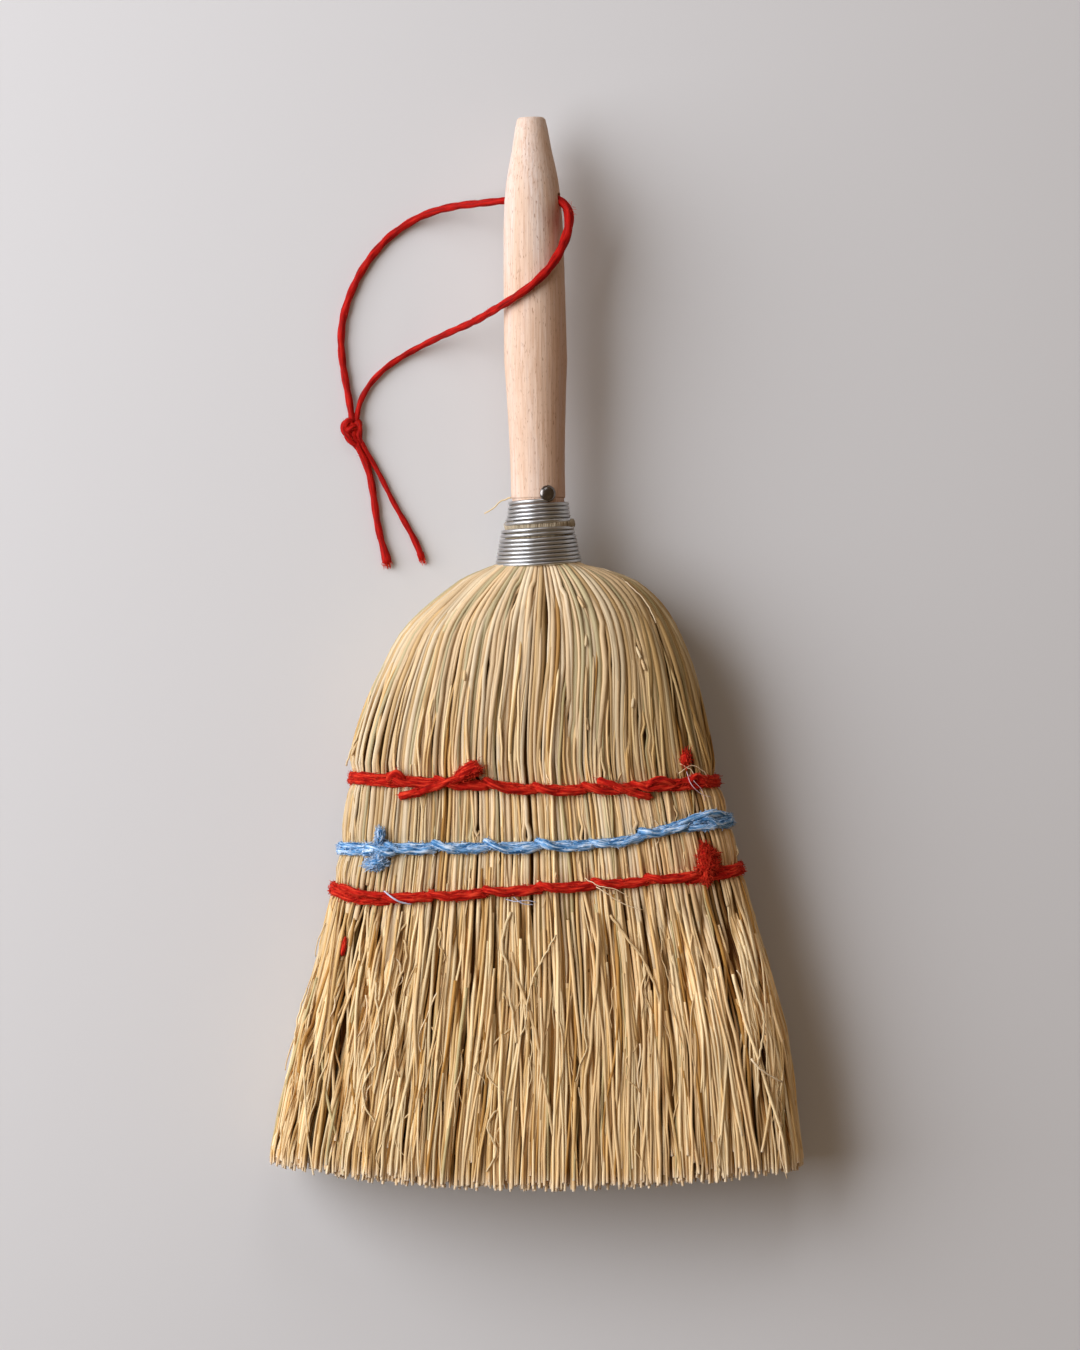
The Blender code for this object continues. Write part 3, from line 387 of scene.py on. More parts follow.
def addFuzz(heap, path, radii, hairs, longest):
    # short loose filaments that stand off the yarn
    radii = np.broadcast_to(radii, (len(path),))
    for _ in range(hairs):
        place = chance.integers(2, len(path) - 3)
        out = unit(chance.normal(0, 1, 3))
        start = path[place] + out * radii[place] * 0.85
        end = start + out * chance.uniform(0.25, longest)
        end = end + (path[place + 2] - path[place]) * chance.uniform(-0.6, 0.6)
        if min(start[2], end[2]) > 0.1:
            addHair(heap, start, end, 0.1, [0.05, 0.045, 0.03], hexColour(cord["fuzz"]))


def openEnd(heap, path, radius):
    # the cut end opens into loose filaments
    tip = path[-1]
    way = unit(path[-1] - path[-4])
    for _ in range(150):
        spread = unit(chance.normal(0, 1, 3)) * [1, 1, 0.8] * chance.uniform(0.3, 1.0) * radius
        start = tip + spread - way * chance.uniform(0.3, 2.6)
        end = start + way * chance.uniform(0.6, 1.5) + spread * chance.uniform(-0.2, 0.35)
        end = tip + (end - tip) * min(1, cord["looseLongest"] / np.linalg.norm(end - tip))
        hair = smoothRoute([start, (start + end) / 2 + chance.normal(0, 0.1, 3), end], 0.6)
        hair[:, 2] = np.maximum(hair[:, 2], 0.12)
        tone = cord["fuzz"] if chance.random() < 0.4 else cord["colours"][2]
        addTube(heap, hair, np.linspace(0.12, 0.06, len(hair)), 4, hexColour(tone), plain=True)


def layCord(name, part, replaced, flare=None, rubbedAt=None):
    path = smoothRoute(placeSeen(cord[part]), cord["spacing"], soften=4)
    path[:, 2] = np.maximum(path[:, 2], cord["diameter"] / 2 + 0.02)
    along = alongOf(path)
    radii = np.interp(along / along[-1], *np.array(cord[part + "Widths"]).T) * cord["diameter"] / 2
    if flare:  # the end widens before it closes
        left = along[-1] - along
        closing = np.sqrt(1 - np.clip(1 - left / cord["roundedOver"], 0, 0.93) ** 2)
        radii = radii * (1 + (flare - 1) * np.exp(-(left / cord["flareReach"]) ** 2)) * closing
    heap = []
    addTube(heap, path, radii, cord["sides"], hexColour(cord["colours"][1]), groove=cord["groove"],
            twist=cord["twist"])
    addFuzz(heap, path, radii, int(along[-1] * 1.2), 0.7)
    if rubbedAt:
        place = int(rubbedAt / cord["spacing"])
        addFuzz(heap, path[place - 4:place + 5] + [0.5, 0.3, 0.4], radii[place], 60, 1.6)
    if flare:
        openEnd(heap, path, radii[-4])
    piece = buildPiece(name, heap, cordRed, "hanging_loop", replaced)
    print(name, "is", round(float(along[-1]), 1), "mm long")


knotMiddle = placeSeen([knot["middle"]])[0] * [1, 1, 0]
heap = []
for *places, thick in knot["strands"]:
    path = smoothRoute(np.array(places) + knotMiddle, knot["spacing"], soften=4)
    path[:, 2] = np.maximum(path[:, 2], thick[0] * 0.85)
    thick = np.linspace(*thick, len(path))
    addTube(heap, path, thick, cord["sides"], hexColour(cord["colours"][1]), groove=knot["groove"],
            twist=knot["twist"])
    addFuzz(heap, path, thick, 50, 0.8)
tiedKnot = buildPiece("tied_cord_knot", heap, cordRed, "hanging_loop", ["cord_knot"])
leftLeave, rightLeave = placeSeen([cord["leftTail"][0], cord["rightTail"][0]])
layCord("hanging_cord_left", "left", ["hanging_cord"])
layCord("hanging_cord_right", "right", ["hanging_cord"], rubbedAt=cord["rubbedAt"])
layCord("cord_end_left", "leftTail", ["cord_tail_left"], flare=1.55)
layCord("cord_end_right", "rightTail", ["cord_tail_right"], flare=1.25)
print("cords laid")


# Floor and light: a pale plain table, one wide soft window on the left and a weak strip above

studio = {
    "floor": "#D2D1CF",
    "floorReach": 6.0,  # metres
    "world": "#FFD6A8",
    "worldStrength": 0.165,
    "lightColour": "#F3F6FF",
    # place and size in metres, then watts; the strip draws the fine line of light on each turn of the wire
    "lights": {"key": ((-1.08, 0.32, 0.80), 1.35, 33.0), "strip": ((0.12, 1.05, 0.95), 0.45, 1.8)},
}
reach = studio["floorReach"]
floorMesh = bpy.data.meshes.new("table_top")
corners = [(-reach, -reach, 0), (reach, -reach, 0), (reach, reach, 0), (-reach, reach, 0)]
floorMesh.from_pydata(corners, [], [(0, 1, 2, 3)])
floorFinish, tree, shader = newMaterial("paleMattPaper", {"Roughness": 0.8, "Base Color": studio["floor"]})
floorMesh.materials.append(floorFinish)
floor = bpy.data.objects.new("table_top", floorMesh)
bpy.context.scene.collection.objects.link(floor)

world = bpy.data.worlds.new("studio")
bpy.context.scene.world = world
world.use_nodes = True
world.node_tree.nodes["Background"].inputs[0].default_value = (*hexColour(studio["world"]), 1)
world.node_tree.nodes["Background"].inputs[1].default_value = studio["worldStrength"]

for lightName, (place, size, power) in studio["lights"].items():
    lightData = bpy.data.lights.new(lightName, "AREA")
    lightData.size = size
    lightData.energy = power
    lightData.color = hexColour(studio["lightColour"])
    light = bpy.data.objects.new(lightName, lightData)
    light.location = place
    aslant = math.acos(place[2] / np.linalg.norm(place))
    light.rotation_euler = (aslant, 0, math.atan2(place[1], place[0]) + math.pi / 2)  # turned to the brush
    bpy.context.scene.collection.objects.link(light)
bpy.context.scene.view_settings.view_transform = "Standard"
print("studio lit")


# Handle: beech, turned and left raw, so it is pale and matt with short brown flecks along the grain

handle = {
    "pale": "#E1CFC2",
    "rosy": "#DEBFA5",
    "band": "#C39A7A",
    "rightShade": "#B0703C",
    "rightShadeFromTo": (2.0, 10.5),  # painted shade: the wood is browned towards the right, away from the light on the left
    "fleck": "#96694C",
    "line": "#C0916F",
    # a reddish patch on the wood round one point near the cord's right mouth
    "reddening": "#8E2A20",
    "reddeningPlace": (7.2, 141.2, 26.2),
    "reddeningReach": 7.0,
    # width and length; the pores are about 0.1 mm wide, drawn wider so that they show
    "fleckSize": (0.42, 2.2),
    "lineSize": (0.55, 16.0),
    "bandSize": (6.5, 70.0),
}
beech, tree, shader = newMaterial("turnedRawBeech", {"IOR": 1.5, "Specular IOR Level": 0.35})
place = addNode(tree, "ShaderNodeTexCoord").outputs["Object"]
bands = grainOf(tree, place, *handle["bandSize"], 5, 0.62, Distortion=0.4)
lines = grainOf(tree, place, *handle["lineSize"], 3, 0.6)
flecks = grainOf(tree, place, *handle["fleckSize"], 2)
split = addNode(tree, "ShaderNodeSeparateXYZ", links={0: place})
reddeningFar = addNode(tree, "ShaderNodeVectorMath",
                   {"operation": "DISTANCE", 1: [part * mm for part in handle["reddeningPlace"]]}, {0: place})
stops = [(0.3, handle["pale"]), (0.55, handle["rosy"]), (0.85, handle["band"])]
ramp = addNode(tree, "ShaderNodeValToRGB", {"stops": stops}, {"Fac": bands})
rightShadeLimits = [x * mm for x in handle["rightShadeFromTo"]]
# painted shade: the right side of the handle is browned, standing in for the shade away from the light
wood = layOver(tree, ramp.outputs[0], handle["rightShade"], split.outputs[0], rightShadeLimits, (0, 0.6))
wood = layOver(tree, wood, handle["line"], lines, (0.45, 0.8), (0, 0.7))
wood = layOver(tree, wood, handle["fleck"], flecks, (0.61, 0.75), (0, 0.8))
reddeningLimits = (0, handle["reddeningReach"] * mm)
wood = layOver(tree, wood, handle["reddening"], reddeningFar.outputs["Value"], reddeningLimits, (0.5, 0))
finishWith(tree, shader, wood, dull=(bands, 0.5, 0.72), relief=(lines, 0.3, 0.2))
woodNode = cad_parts["handle"]
woodNode.data.materials.clear()
woodNode.data.materials.append(beech)
print("handle finished")


# Nail: blued steel, stamped to a dome, so it is dark with one soft crescent of light

nail = {
    "colour": "#736E6A",
    "worn": "#A59D96",
    "place": (1.02, 51.7, 20.0),  # on the handle's axis
    "angle": math.radians(19.5),
    "woodRadius": 8.85,
    "sides": 40,
    # height over the wood, then radius
    "profile": ((-3.0, 0.9), (-0.1, 0.95), (0.0, 1.2), (0.12, 2.5), (0.22, 2.68), (0.42, 2.75), (0.68, 2.66),
                (0.98, 2.42), (1.28, 2.0), (1.5, 1.45), (1.62, 0.85), (1.66, 0.2)),
}
bluedSteel, tree, shader = newMaterial("stampedDarkSteel", {"Metallic": 1, "Roughness": 0.27})
place = addNode(tree, "ShaderNodeTexCoord")
wear = addNode(tree, "ShaderNodeTexNoise", {"Scale": 900, "Detail": 4}, {"Vector": place.outputs["Object"]})
ramp = addNode(tree, "ShaderNodeValToRGB", {"stops": [(0.5, nail["colour"]), (0.85, nail["worn"])]},
               {"Fac": wear.outputs[0]})
finishWith(tree, shader, ramp.outputs[0])
out = np.array([math.sin(nail["angle"]), 0, math.cos(nail["angle"])])
profile = np.array(nail["profile"])
heap = []
path = np.array(nail["place"]) + out * (nail["woodRadius"] + profile[:, :1])
addTube(heap, path, profile[:, 1], nail["sides"], hexColour(nail["colour"]))
buildPiece("domed_nail", heap, bluedSteel, "brush", ["binding_nail"])


# Binding wire: bright drawn steel, so each turn has one broad clean highlight

wire = {
    "diameter": 1.22,
    "sides": 14,
    "pointsATurn": 72,
    "axis": (1.05, 50.2, 20.0),  # where the leaning handle's grip ends
    "lean": math.radians(1.08),
    "startAngle": math.radians(19.5),
    # height of each pass over the front
    "frontPasses": (49.4, 47.9, 46.55, 45.2, 43.9, 42.5, 40.0, 38.45, 36.6, 35.25, 33.9, 32.55, 31.2, 29.9,
                    28.65),
    "pitch": 1.31,  # before the first of them and after the last
    "turns": 14.45,
    "crossing": 6,  # passes before it crosses the straw's cut ends
    "stepAt": (5.32, 5.86),  # which it does behind
    "upperRadius": ((42.3, 43.8, 49.4), (11.9, 9.95, 9.25)),
    "tuckedIn": 1.1,  # the last upper turn lies over the cut ends in front and sinks into them at the sides
    "tuckedBelow": 43.4,
    "lowerRadius": ((28.6, 40.0), (13.6, 11.4)),
    "lowerShift": -0.35,  # the lower turns sit a little to the left
    "lowerDip": ((5.5, 8.0), (0.0, 0.055)),  # and dip at the front
    "slope": 0.042,  # the turns rise to the right
    "bright": "#C8C8C7",
    "dull": "#BEBEBD",
}
drawnSteel, tree, shader = newMaterial("drawnBrightSteelWire", {"Metallic": 1})
strandUv = addNode(tree, "ShaderNodeUVMap", {"uv_map": "strand"})
drawLines = grainOf(tree, strandUv.outputs[0], 0.5, 30, 3)
ramp = addNode(tree, "ShaderNodeValToRGB", {"stops": [(0.35, wire["dull"]), (0.6, wire["bright"])]},
               {"Fac": drawLines})
finishWith(tree, shader, ramp.outputs[0], dull=(drawLines, 0.35, 0.36))


def wirePath():
    turn = np.arange(0, wire["turns"], 1 / wire["pointsATurn"])
    passes, pitch = np.array(wire["frontPasses"]), wire["pitch"]
    places = np.arange(len(passes)) + wire["startAngle"] / math.tau
    places = np.concatenate([[-1.0], places, [len(passes) + 0.6]])
    heights = np.concatenate([[passes[0] + pitch], passes, [passes[-1] - pitch * 0.6]])
    start, end = wire["stepAt"]
    last = wire["crossing"]
    upper = np.interp(turn, places[:last + 1], heights[:last + 1])
    upper = np.where(turn > places[last], heights[last] - (turn - places[last]) * pitch, upper)
    lower = np.interp(turn, places[last + 1:], heights[last + 1:])
    lower = np.where(turn < places[last + 1], heights[last + 1] + (places[last + 1] - turn) * pitch, lower)
    crossed = ease((turn - start) / (end - start))
    y = lerp(upper, lower, crossed)
    radius = lerp(np.interp(y, *wire["upperRadius"]), np.interp(y, *wire["lowerRadius"]),
                  ease((turn - start + 0.1) / (end - start + 0.1)))
    angle = wire["startAngle"] - math.tau * turn
    tucked = wire["tuckedIn"] * np.sin(angle) ** 2 * np.clip(wire["tuckedBelow"] - upper, 0, 1)
    radius = radius - tucked * (1 - crossed)
    out, up = radius * np.sin(angle), radius * np.cos(angle)
    y = y + np.interp(turn, *wire["lowerDip"]) * (radius - up) + wire["slope"] * out
    x = wire["axis"][0] + out * math.cos(wire["lean"]) - (y - wire["axis"][1]) * math.sin(wire["lean"])
    x = x + wire["lowerShift"] * crossed
    return np.stack([x, y, wire["axis"][2] + up], 1)


path = wirePath()
heap = []
addTube(heap, path, wire["diameter"] / 2, wire["sides"], hexColour(wire["bright"]))
buildPiece("steel_binding_wire", heap, drawnSteel, "brush", ["binding_wire"])
print("wire wound", len(path), "points")


# Straw: broom corn stalks, dried and cut, round and waxy above and split to fine matt fibres below

straw = {
    "outlineStep": 0.25,
    # y, left edge, right edge, half thickness, squareness of the section
    "outline": (
        (45.0, -9.1, 11.3, 10.2, 2.0), (43.4, -9.8, 12.6, 11.0, 2.0), (42.0, -10.5, 13.5, 11.7, 2.0),
        (41.0, -10.4, 13.4, 11.6, 2.0), (40.0, -9.6, 12.3, 10.8, 2.0), (38.5, -9.6, 12.2, 10.9, 2.0),
        (37.5, -9.9, 12.5, 11.2, 2.0), (36.0, -9.8, 12.5, 11.2, 2.0), (28.9, -11.4, 14.4, 12.8, 2.0),
        (28.0, -13.9, 17.6, 13.2, 2.0), (26.2, -18.6, 25.4, 14.2, 2.05), (23.7, -24.4, 32.9, 15.4, 2.1),
        (20.5, -28.7, 37.3, 16.7, 2.15), (17.2, -33.1, 40.9, 17.7, 2.2), (13.8, -37.2, 43.6, 18.5, 2.25),
        (10.6, -40.9, 45.8, 19.1, 2.3), (4.1, -46.2, 48.8, 19.8, 2.45), (-2.5, -49.4, 51.4, 20.2, 2.6),
        (-9.0, -52.6, 53.4, 20.4, 2.75), (-15.6, -55.3, 55.0, 20.2, 2.85), (-25.0, -58.5, 56.9, 18.9, 3.0),
        (-35.2, -60.9, 58.9, 17.2, 3.1), (-48.3, -61.6, 62.2, 16.4, 3.2), (-64.7, -63.8, 66.1, 16.3, 3.2),
        (-81.0, -67.1, 70.1, 16.4, 3.2), (-100.7, -71.7, 76.0, 17.4, 3.2), (-126.9, -78.6, 82.6, 18.8, 3.2),
        (-153.0, -84.5, 85.8, 20.0, 3.2), (-163.0, -86.6, 87.2, 20.3, 3.2), (-178.0, -87.6, 88.0, 20.5, 3.2),
    ),
    "axisHeight": 20.0,
    "sideShare": 0.22,
    "sideNeckAngle": math.radians(20),
    "hanksAFace": 6,
    "neckLevel": 28.0,  # the stalks fan out from here
    "fanLevel": -40.0,  # to here
    "straightFrom": -6.0,
    # the hole in its neck that the handle's end fills, down to nearly nothing below
    "bore": {"radius": 8.5, "top": 42.0, "narrows": 0.135, "least": 0.4},
    # -y, then how far the inner stalks have fanned out there
    "innerFan": ((-30.5, 0), (-28.6, 0.06), (-27.3, 0.12), (-25, 0.23), (-22.8, 0.34), (-20, 0.47),
                 (-16.5, 0.61), (-11.9, 0.75), (-7.4, 0.84), (0.8, 0.92), (10, 0.96), (22, 0.985), (39, 1)),
    "cutTop": 43.1,
    "tipLevel": -175.0,
    "tipRise": 7.0,  # how much higher the free ends are cut at this far aside
    "tipHalf": 86,
    "notch": 1.7,  # how far the twine pulls neighbouring hanks apart
    "notchAbove": 1.4,
    "notchReach": 2.2,
    "pinch": 1.1,  # how deep the twine sits
    "pinchReach": 3.2,
    "sidePull": {"upper": 1.3, "middle": 0.0, "lower": 0.2},  # and how much deeper at the sides
    # y of a stalk's points down to the rows, then y and radius
    "stalkLevels": (43.6, 42.0, 40.5, 38.0, 34.0, 31.0, 29.4, 28.2, 27.2, 26.0, 24.6, 23.0, 21.0, 18.6, 16.0,
                    13.0, 9.5, 5.5, 1.0, -4.0, -9.5, -15.0, -21.0, -27.0, -32.0, -36.0),
    "stalkRadius": ((-170, 0.52), (-130, 0.64), (-95, 0.68), (-60, 0.72), (-35, 0.76), (-15, 0.82), (0, 0.88),
                    (16, 0.88), (24, 0.82), (29, 0.74), (34, 0.6), (43, 0.56)),
    "shortFoot": (-125, -66),  # just over half the stalks split to fibres here
    "longFoot": (-171, -140),  # and the others near the free ends
    "buried": (0.0, 0.2, 0.5, 1.1),  # how deep stalks lie in the skin
    "evenBelow": -92,  # fibres have evenly spaced points from here down
    "greyAbove": 37.6,  # the cut ends over the wire have gone grey
    # what a hank is made of; the side hanks have twice as many
    "aHank": {"stalks": 17, "under": 13, "crossing": 4, "shoots": 12, "frays": 12},
    "crossed": (0.1, 0.28),  # how much of the hank the crossing stalks cross, aslant over the others
    "innerRows": 7,
    "innerColumns": 13,
    "innerTop": -112,
    # gaps: x and y as the camera sees them, how far the stalks go aside, half the gap's length
    "gaps": ((3.6, 12.0, 0.75, 8.0), (-0.7, 20.5, 0.4, 6.0), (-6.2, 18.4, 0.45, 7.5), (33.9, -1.0, 0.8, 6.0),
             (35.7, -27.0, 0.8, 7.0), (22.6, 4.0, 0.5, 8.0), (-15.0, -4.6, 0.6, 7.0), (10.4, -18.6, 0.7, 8.0),
             (-9.8, -22.0, 0.5, 7.0), (49.7, -9.0, 0.6, 6.0), (-33.0, -20.0, 0.5, 9.0),
             (9.0, 19.5, 0.45, 4.0), (-19.5, -60.2, 0.9, 2.8), (-2.7, -59.4, 0.9, 2.8),
             (15.1, -58.4, 0.9, 2.8), (32.8, -57.0, 0.9, 2.8), (-18.1, -39.6, 0.8, 2.4),
             (22.5, -40.6, 0.8, 2.4)),
    "gapLean": 0.012,  # they lean outwards like the stalks
    "gapReach": 1.8,
    # y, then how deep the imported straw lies
    "coreSink": ((-128, -110, -60, 25, 34), (3.4, 3.0, 2.6, 2.6, 1.7)),
    "bunch": 1.2,  # the bunches below the rows are about six times this wide
    "valley": 1.8,  # and this deep between
    # broken side shoots, x and y
    "nubs": ((14.7, 15.9), (16.7, 3.4), (34.4, -4.4), (16.7, -23.7), (31.8, -16.5), (49.8, -14.6)),
    "colours": {
        "pale": "#E3CFAC", "warm": "#DCC198", "tan": "#CDAD7B", "olive": "#BFB189", "amber": "#AC8245",
        # core is painted shade: a dark brown for the straw inside, which shows only through the gaps between
        # stalks
        "ginger": "#80551F", "stub": "#B3A48A", "core": "#6C400A", "cut": "#F4E2C8",
    },
    # how many of each colour there are
    "blends": {
        "stalk": {"pale": 6, "warm": 8, "tan": 4.5, "olive": 2.6, "amber": 0.15},
        "fading": {"pale": 4, "warm": 5, "tan": 3},
        "underStalk": {"tan": 4, "olive": 4, "amber": 1},
        "fibre": {"pale": 7, "warm": 7, "tan": 3, "olive": 0.5, "amber": 1.4},
        "underFibre": {"tan": 2, "amber": 5, "ginger": 5},
        "fray": {"cut": 1, "pale": 4, "warm": 4},
        "nub": {"pale": 1, "warm": 2},
        "inner": {"warm": 4, "tan": 4, "amber": 2, "olive": 1},
    },
    # shades in red, green and blue: what a colour is multiplied by, then how much darker a place is
    # painted shade: stalks and fibres that lie under others are coloured darker and browner, standing in for
    # the shade among them
    "paintedShadeUnderStalk": (0.58, 0.5, 0.36),
    "paintedShadeUnderFibre": (0.68, 0.6, 0.4),
    "fibreBrown": (1.14, 1.07, 0.9),
    "valleyShade": (0.34, 0.45, 0.6),
    # painted shade: the right shoulder and the right between the rows are coloured darker and browner, away
    # from the light
    "paintedShadeAndTone": {
        "shadedShoulder": np.array([0.28, 0.33, 0.46]),
        "leftRows": 0.18,
        "shadedRightRows": np.array([0.05, 0.14, 0.22]),
        "paleRightBelow": np.array([-0.2, -0.22, -0.26]),  # the right side below the rows is paler
    },
    # width and length of the pattern; real ribs are about 0.2 mm wide, drawn wider so that they show
    "ribSize": (0.6, 30),
    "patchSize": (4, 22),
    # strands that stand out: radius, colour, then x and y as the camera sees them and height over the skin
    "strays": (
        (0.32, "pale",
         ((-8.0, 50.6, 0.6), (-10.1, 50.2, 1.5), (-12.2, 48.7, 1.5), (-13.9, 46.6, 1.0), (-16.6, 45.5, 0.5))),
        (0.42, "pale",
         ((-53.4, -12.0, 0.0), (-55.2, -18.5, 0.3), (-56.6, -22.8, 0.5), (-58.3, -27.6, 0.6),
          (-60.4, -32.4, 0.6), (-61.8, -37.2, 0.3))),
        (0.26, "cut",
         ((18.0, 27.6, 0.5), (22.6, 27.2, 0.8), (29.8, 23.0, 1.0), (36.4, 16.4, 1.0), (39.6, 9.6, 0.6))),
        (0.40, "pale",
         ((-51.2, -132.6, 0.1), (-53.2, -136.3, 0.8), (-55.7, -140.0, 1.2), (-56.6, -143.9, 1.3),
          (-55.7, -148.5, 1.1), (-53.7, -152.1, 0.8), (-52.2, -154.4, 0.1))),
        (0.45, "pale",
         ((-52.1, -108.0, -0.2), (-52.1, -113.8, 0.4), (-51.1, -120.3, 0.7), (-52.7, -126.9, 0.8),
          (-52.1, -131.8, 0.8), (-53.2, -138.0, 0.3))),
        (0.42, "warm",
         ((-42.9, -94.1, 0.2), (-42.2, -100.7, 0.6), (-45.2, -108.9, 0.8), (-46.2, -115.4, 0.9),
          (-44.9, -123.6, 0.7), (-45.8, -133.4, 0.9), (-44.5, -139.0, 0.2))),
        (0.36, "pale",
         ((6.9, -92.5, 0.3), (3.3, -99.0, 0.9), (-0.7, -106.6, 1.2), (-2.6, -115.4, 1.3), (-3.3, -122.0, 1.1),
          (-4.9, -125.8, 0.2))),
        (0.52, "pale",
         ((-7.9, -85.0, 0.2), (-10.1, -90.9, 0.5), (-10.8, -97.4, 0.7), (-8.8, -102.6, 0.8),
          (-8.5, -110.5, 0.6), (-7.2, -118.7, 0.5), (-6.2, -127.9, 0.1))),
        (0.62, "warm",
         ((-7.6, -98.0, -0.2), (-6.4, -104.8, 0.2), (-3.3, -113.8, 0.4), (0.0, -123.6, 0.4),
          (2.0, -135.1, 0.3), (4.3, -148.2, 0.2), (5.9, -158.3, -0.2))),
        (0.42, "cut", ((70.7, -133.0, 0.8), (73.7, -136.4, 1.6), (76.9, -138.6, 1.6), (80.9, -140.6, 1.2))),
        (0.46, "pale",
         ((69.4, -100.7, 0.1), (71.0, -108.9, 0.6), (73.7, -115.4, 1.0), (75.2, -121.0, 1.2),
          (74.4, -127.4, 1.2), (72.8, -135.0, 1.2), (73.2, -141.6, 1.0), (72.7, -146.0, 0.4))),
        (0.20, "cut",
         ((20.0, -76.8, 1.0), (23.2, -78.9, 2.2), (27.8, -81.6, 1.6), (32.1, -83.7, 1.0),
          (35.4, -84.2, 0.4))),
        (0.17, "cut", ((16.4, -73.8, 0.6), (20.6, -76.4, 2.6), (27.4, -77.8, 3.0), (31.0, -80.6, 1.2))),
        (0.52, "warm",
         ((24.6, -86.0, 0.1), (27.6, -90.2, 0.6), (34.4, -99.0, 0.9), (39.3, -108.9, 0.8),
          (41.4, -117.4, 0.2))),
        (0.40, "pale",
         ((-12.4, -150.0, 0.2), (-15.9, -154.7, 0.9), (-13.8, -159.6, 1.1), (-12.6, -164.0, 0.9),
          (-15.9, -170.0, 0.3))),
        (0.25, "pale", ((-68.6, -88.6, 0.2), (-70.2, -92.5, 0.8), (-71.8, -95.8, 1.0), (-71.8, -99.6, 0.4))),
        (0.34, "pale",
         ((-74.6, -110.0, 0.1), (-76.4, -114.8, 0.8), (-77.8, -120.3, 1.0), (-78.8, -127.6, 0.6))),
        (0.20, "cut",
         ((56.4, -41.0, 0.2), (54.6, -38.0, 1.6), (52.0, -36.6, 1.9), (49.8, -37.6, 1.4),
          (47.0, -39.6, 0.6))),
        (0.17, "cut", ((47.4, -36.4, 0.2), (49.6, -37.4, 1.6), (51.6, -39.0, 1.9), (52.6, -41.2, 1.0))),
    ),
}

# Rows of stitching, measured across the front: (x, y) of each row's middle
rows = {
    "upper": ((-62, -41.0), (-58.6, -40.9), (-47.5, -42.1), (-34.4, -42.6), (-21.3, -43.4), (-11.5, -43.8),
              (1.6, -45.2), (8.2, -45.2), (21.3, -44.7), (34.4, -44.4), (40.9, -43.4), (54.0, -42.9),
              (61, -41.9)),
    "middle": ((-65, -64.2), (-47.5, -64.3), (-40.9, -63.9), (-34.0, -64.2), (-18.0, -63.9), (-8.2, -63.9),
               (3.3, -63.4), (8.2, -63.3), (21.3, -63.0), (34.4, -60.9), (44.2, -57.1), (54.0, -55.8),
               (65, -54.8)),
    "lower": ((-67, -76.2), (-62.2, -78.6), (-55.7, -80.5), (-47.5, -80.7), (-37.7, -80.2), (-27.8, -79.9),
              (-14.7, -78.6), (-4.9, -78.1), (4.9, -77.1), (21.3, -76.1), (34.4, -75.1), (54.0, -72.8),
              (67, -70.2)),
}
frontLarger = 1.0095  # the front is nearer to the camera than the axis is


def rowLevel(row, x):
    places = np.array(rows[row])
    fine = np.linspace(places[0, 0], places[-1, 0], 60)
    level = np.interp(fine, places[:, 0], places[:, 1])
    for _ in range(6):
        level[1:-1] = (level[:-2] + 2 * level[1:-1] + level[2:]) / 4
    return np.interp(x, fine, level)


for row, places in rows.items():
    rows[row] = [[(part - centre) / frontLarger + centre for part, centre in zip(place, camera["middle"])]
                 for place in places]

outlineTable = np.array(straw["outline"])[::-1]
step = straw["outlineStep"]
fineY = np.arange(outlineTable[0, 0], outlineTable[-1, 0] + step, step)
fineColumns = [np.interp(fineY, outlineTable[:, 0], outlineTable[:, column]) for column in (1, 2, 3, 4)]
fineSection = np.stack(fineColumns, 1)
# the table's corners are rounded over about 2 mm, and less where the straw springs out from under the wire
rounding = lerp(0.12, 1, rise(fineY[1:-1], 26, 18))[:, None]
for _ in range(30):
    fineSection[1:-1] += rounding * (fineSection[:-2] - 2 * fineSection[1:-1] + fineSection[2:]) / 4


def sectionAt(y):
    left, right, thick, square = (np.interp(y, fineY, fineSection[:, column]) for column in range(4))
    return (left + right) / 2, (right - left) / 2, thick, square


def axisX(y):
    return wire["axis"][0] - (y - wire["axis"][1]) * math.tan(wire["lean"])


neckMiddle, neckWide = sectionAt(straw["neckLevel"])[:2]
straightMiddle, fanWide = sectionAt(straw["straightFrom"])[0], sectionAt(straw["fanLevel"])[1]


def fanShare(y):
    return np.clip((sectionAt(y)[1] - neckWide) / (fanWide - neckWide), 0, 1)


def columnShare(boundary):
    return (1 - straw["sideShare"]) * (2 * boundary / straw["hanksAFace"] - 1)


def neckAngle(boundary):
    # more of the front's stalks come from the middle of the neck than from its sides
    aside = 2 * boundary / straw["hanksAFace"] - 1
    return math.pi / 2 - aside * (0.78 + 0.22 * aside ** 2) * (math.pi / 2 - straw["sideNeckAngle"])


def boundaryShare(boundary, y):
    # the outline swells out at once, while the inner stalks slant out in nearly straight lines
    fan, column = fanShare(y), columnShare(boundary)
    outer = np.minimum(np.abs(column) / (1 - straw["sideShare"]), 1) ** 3
    own = lerp(np.interp(-y, *np.array(straw["innerFan"]).T), fan, outer)
    reach = lerp(neckWide * np.cos(neckAngle(boundary)), fanWide * column, own)
    # the right side swells out first, which moves the outer stalks alone
    ends = [straw["straightFrom"], straw["neckLevel"]]
    straight = np.interp(y, ends, [straightMiddle, neckMiddle]) - sectionAt(y)[0]
    reach = reach + (1 - outer) * np.where((y > ends[0]) & (y < ends[1]), straight, 0)
    return reach / lerp(neckWide, fanWide, fan)


def signedPower(base, exponent):
    return np.copysign(np.abs(base) ** exponent, base)


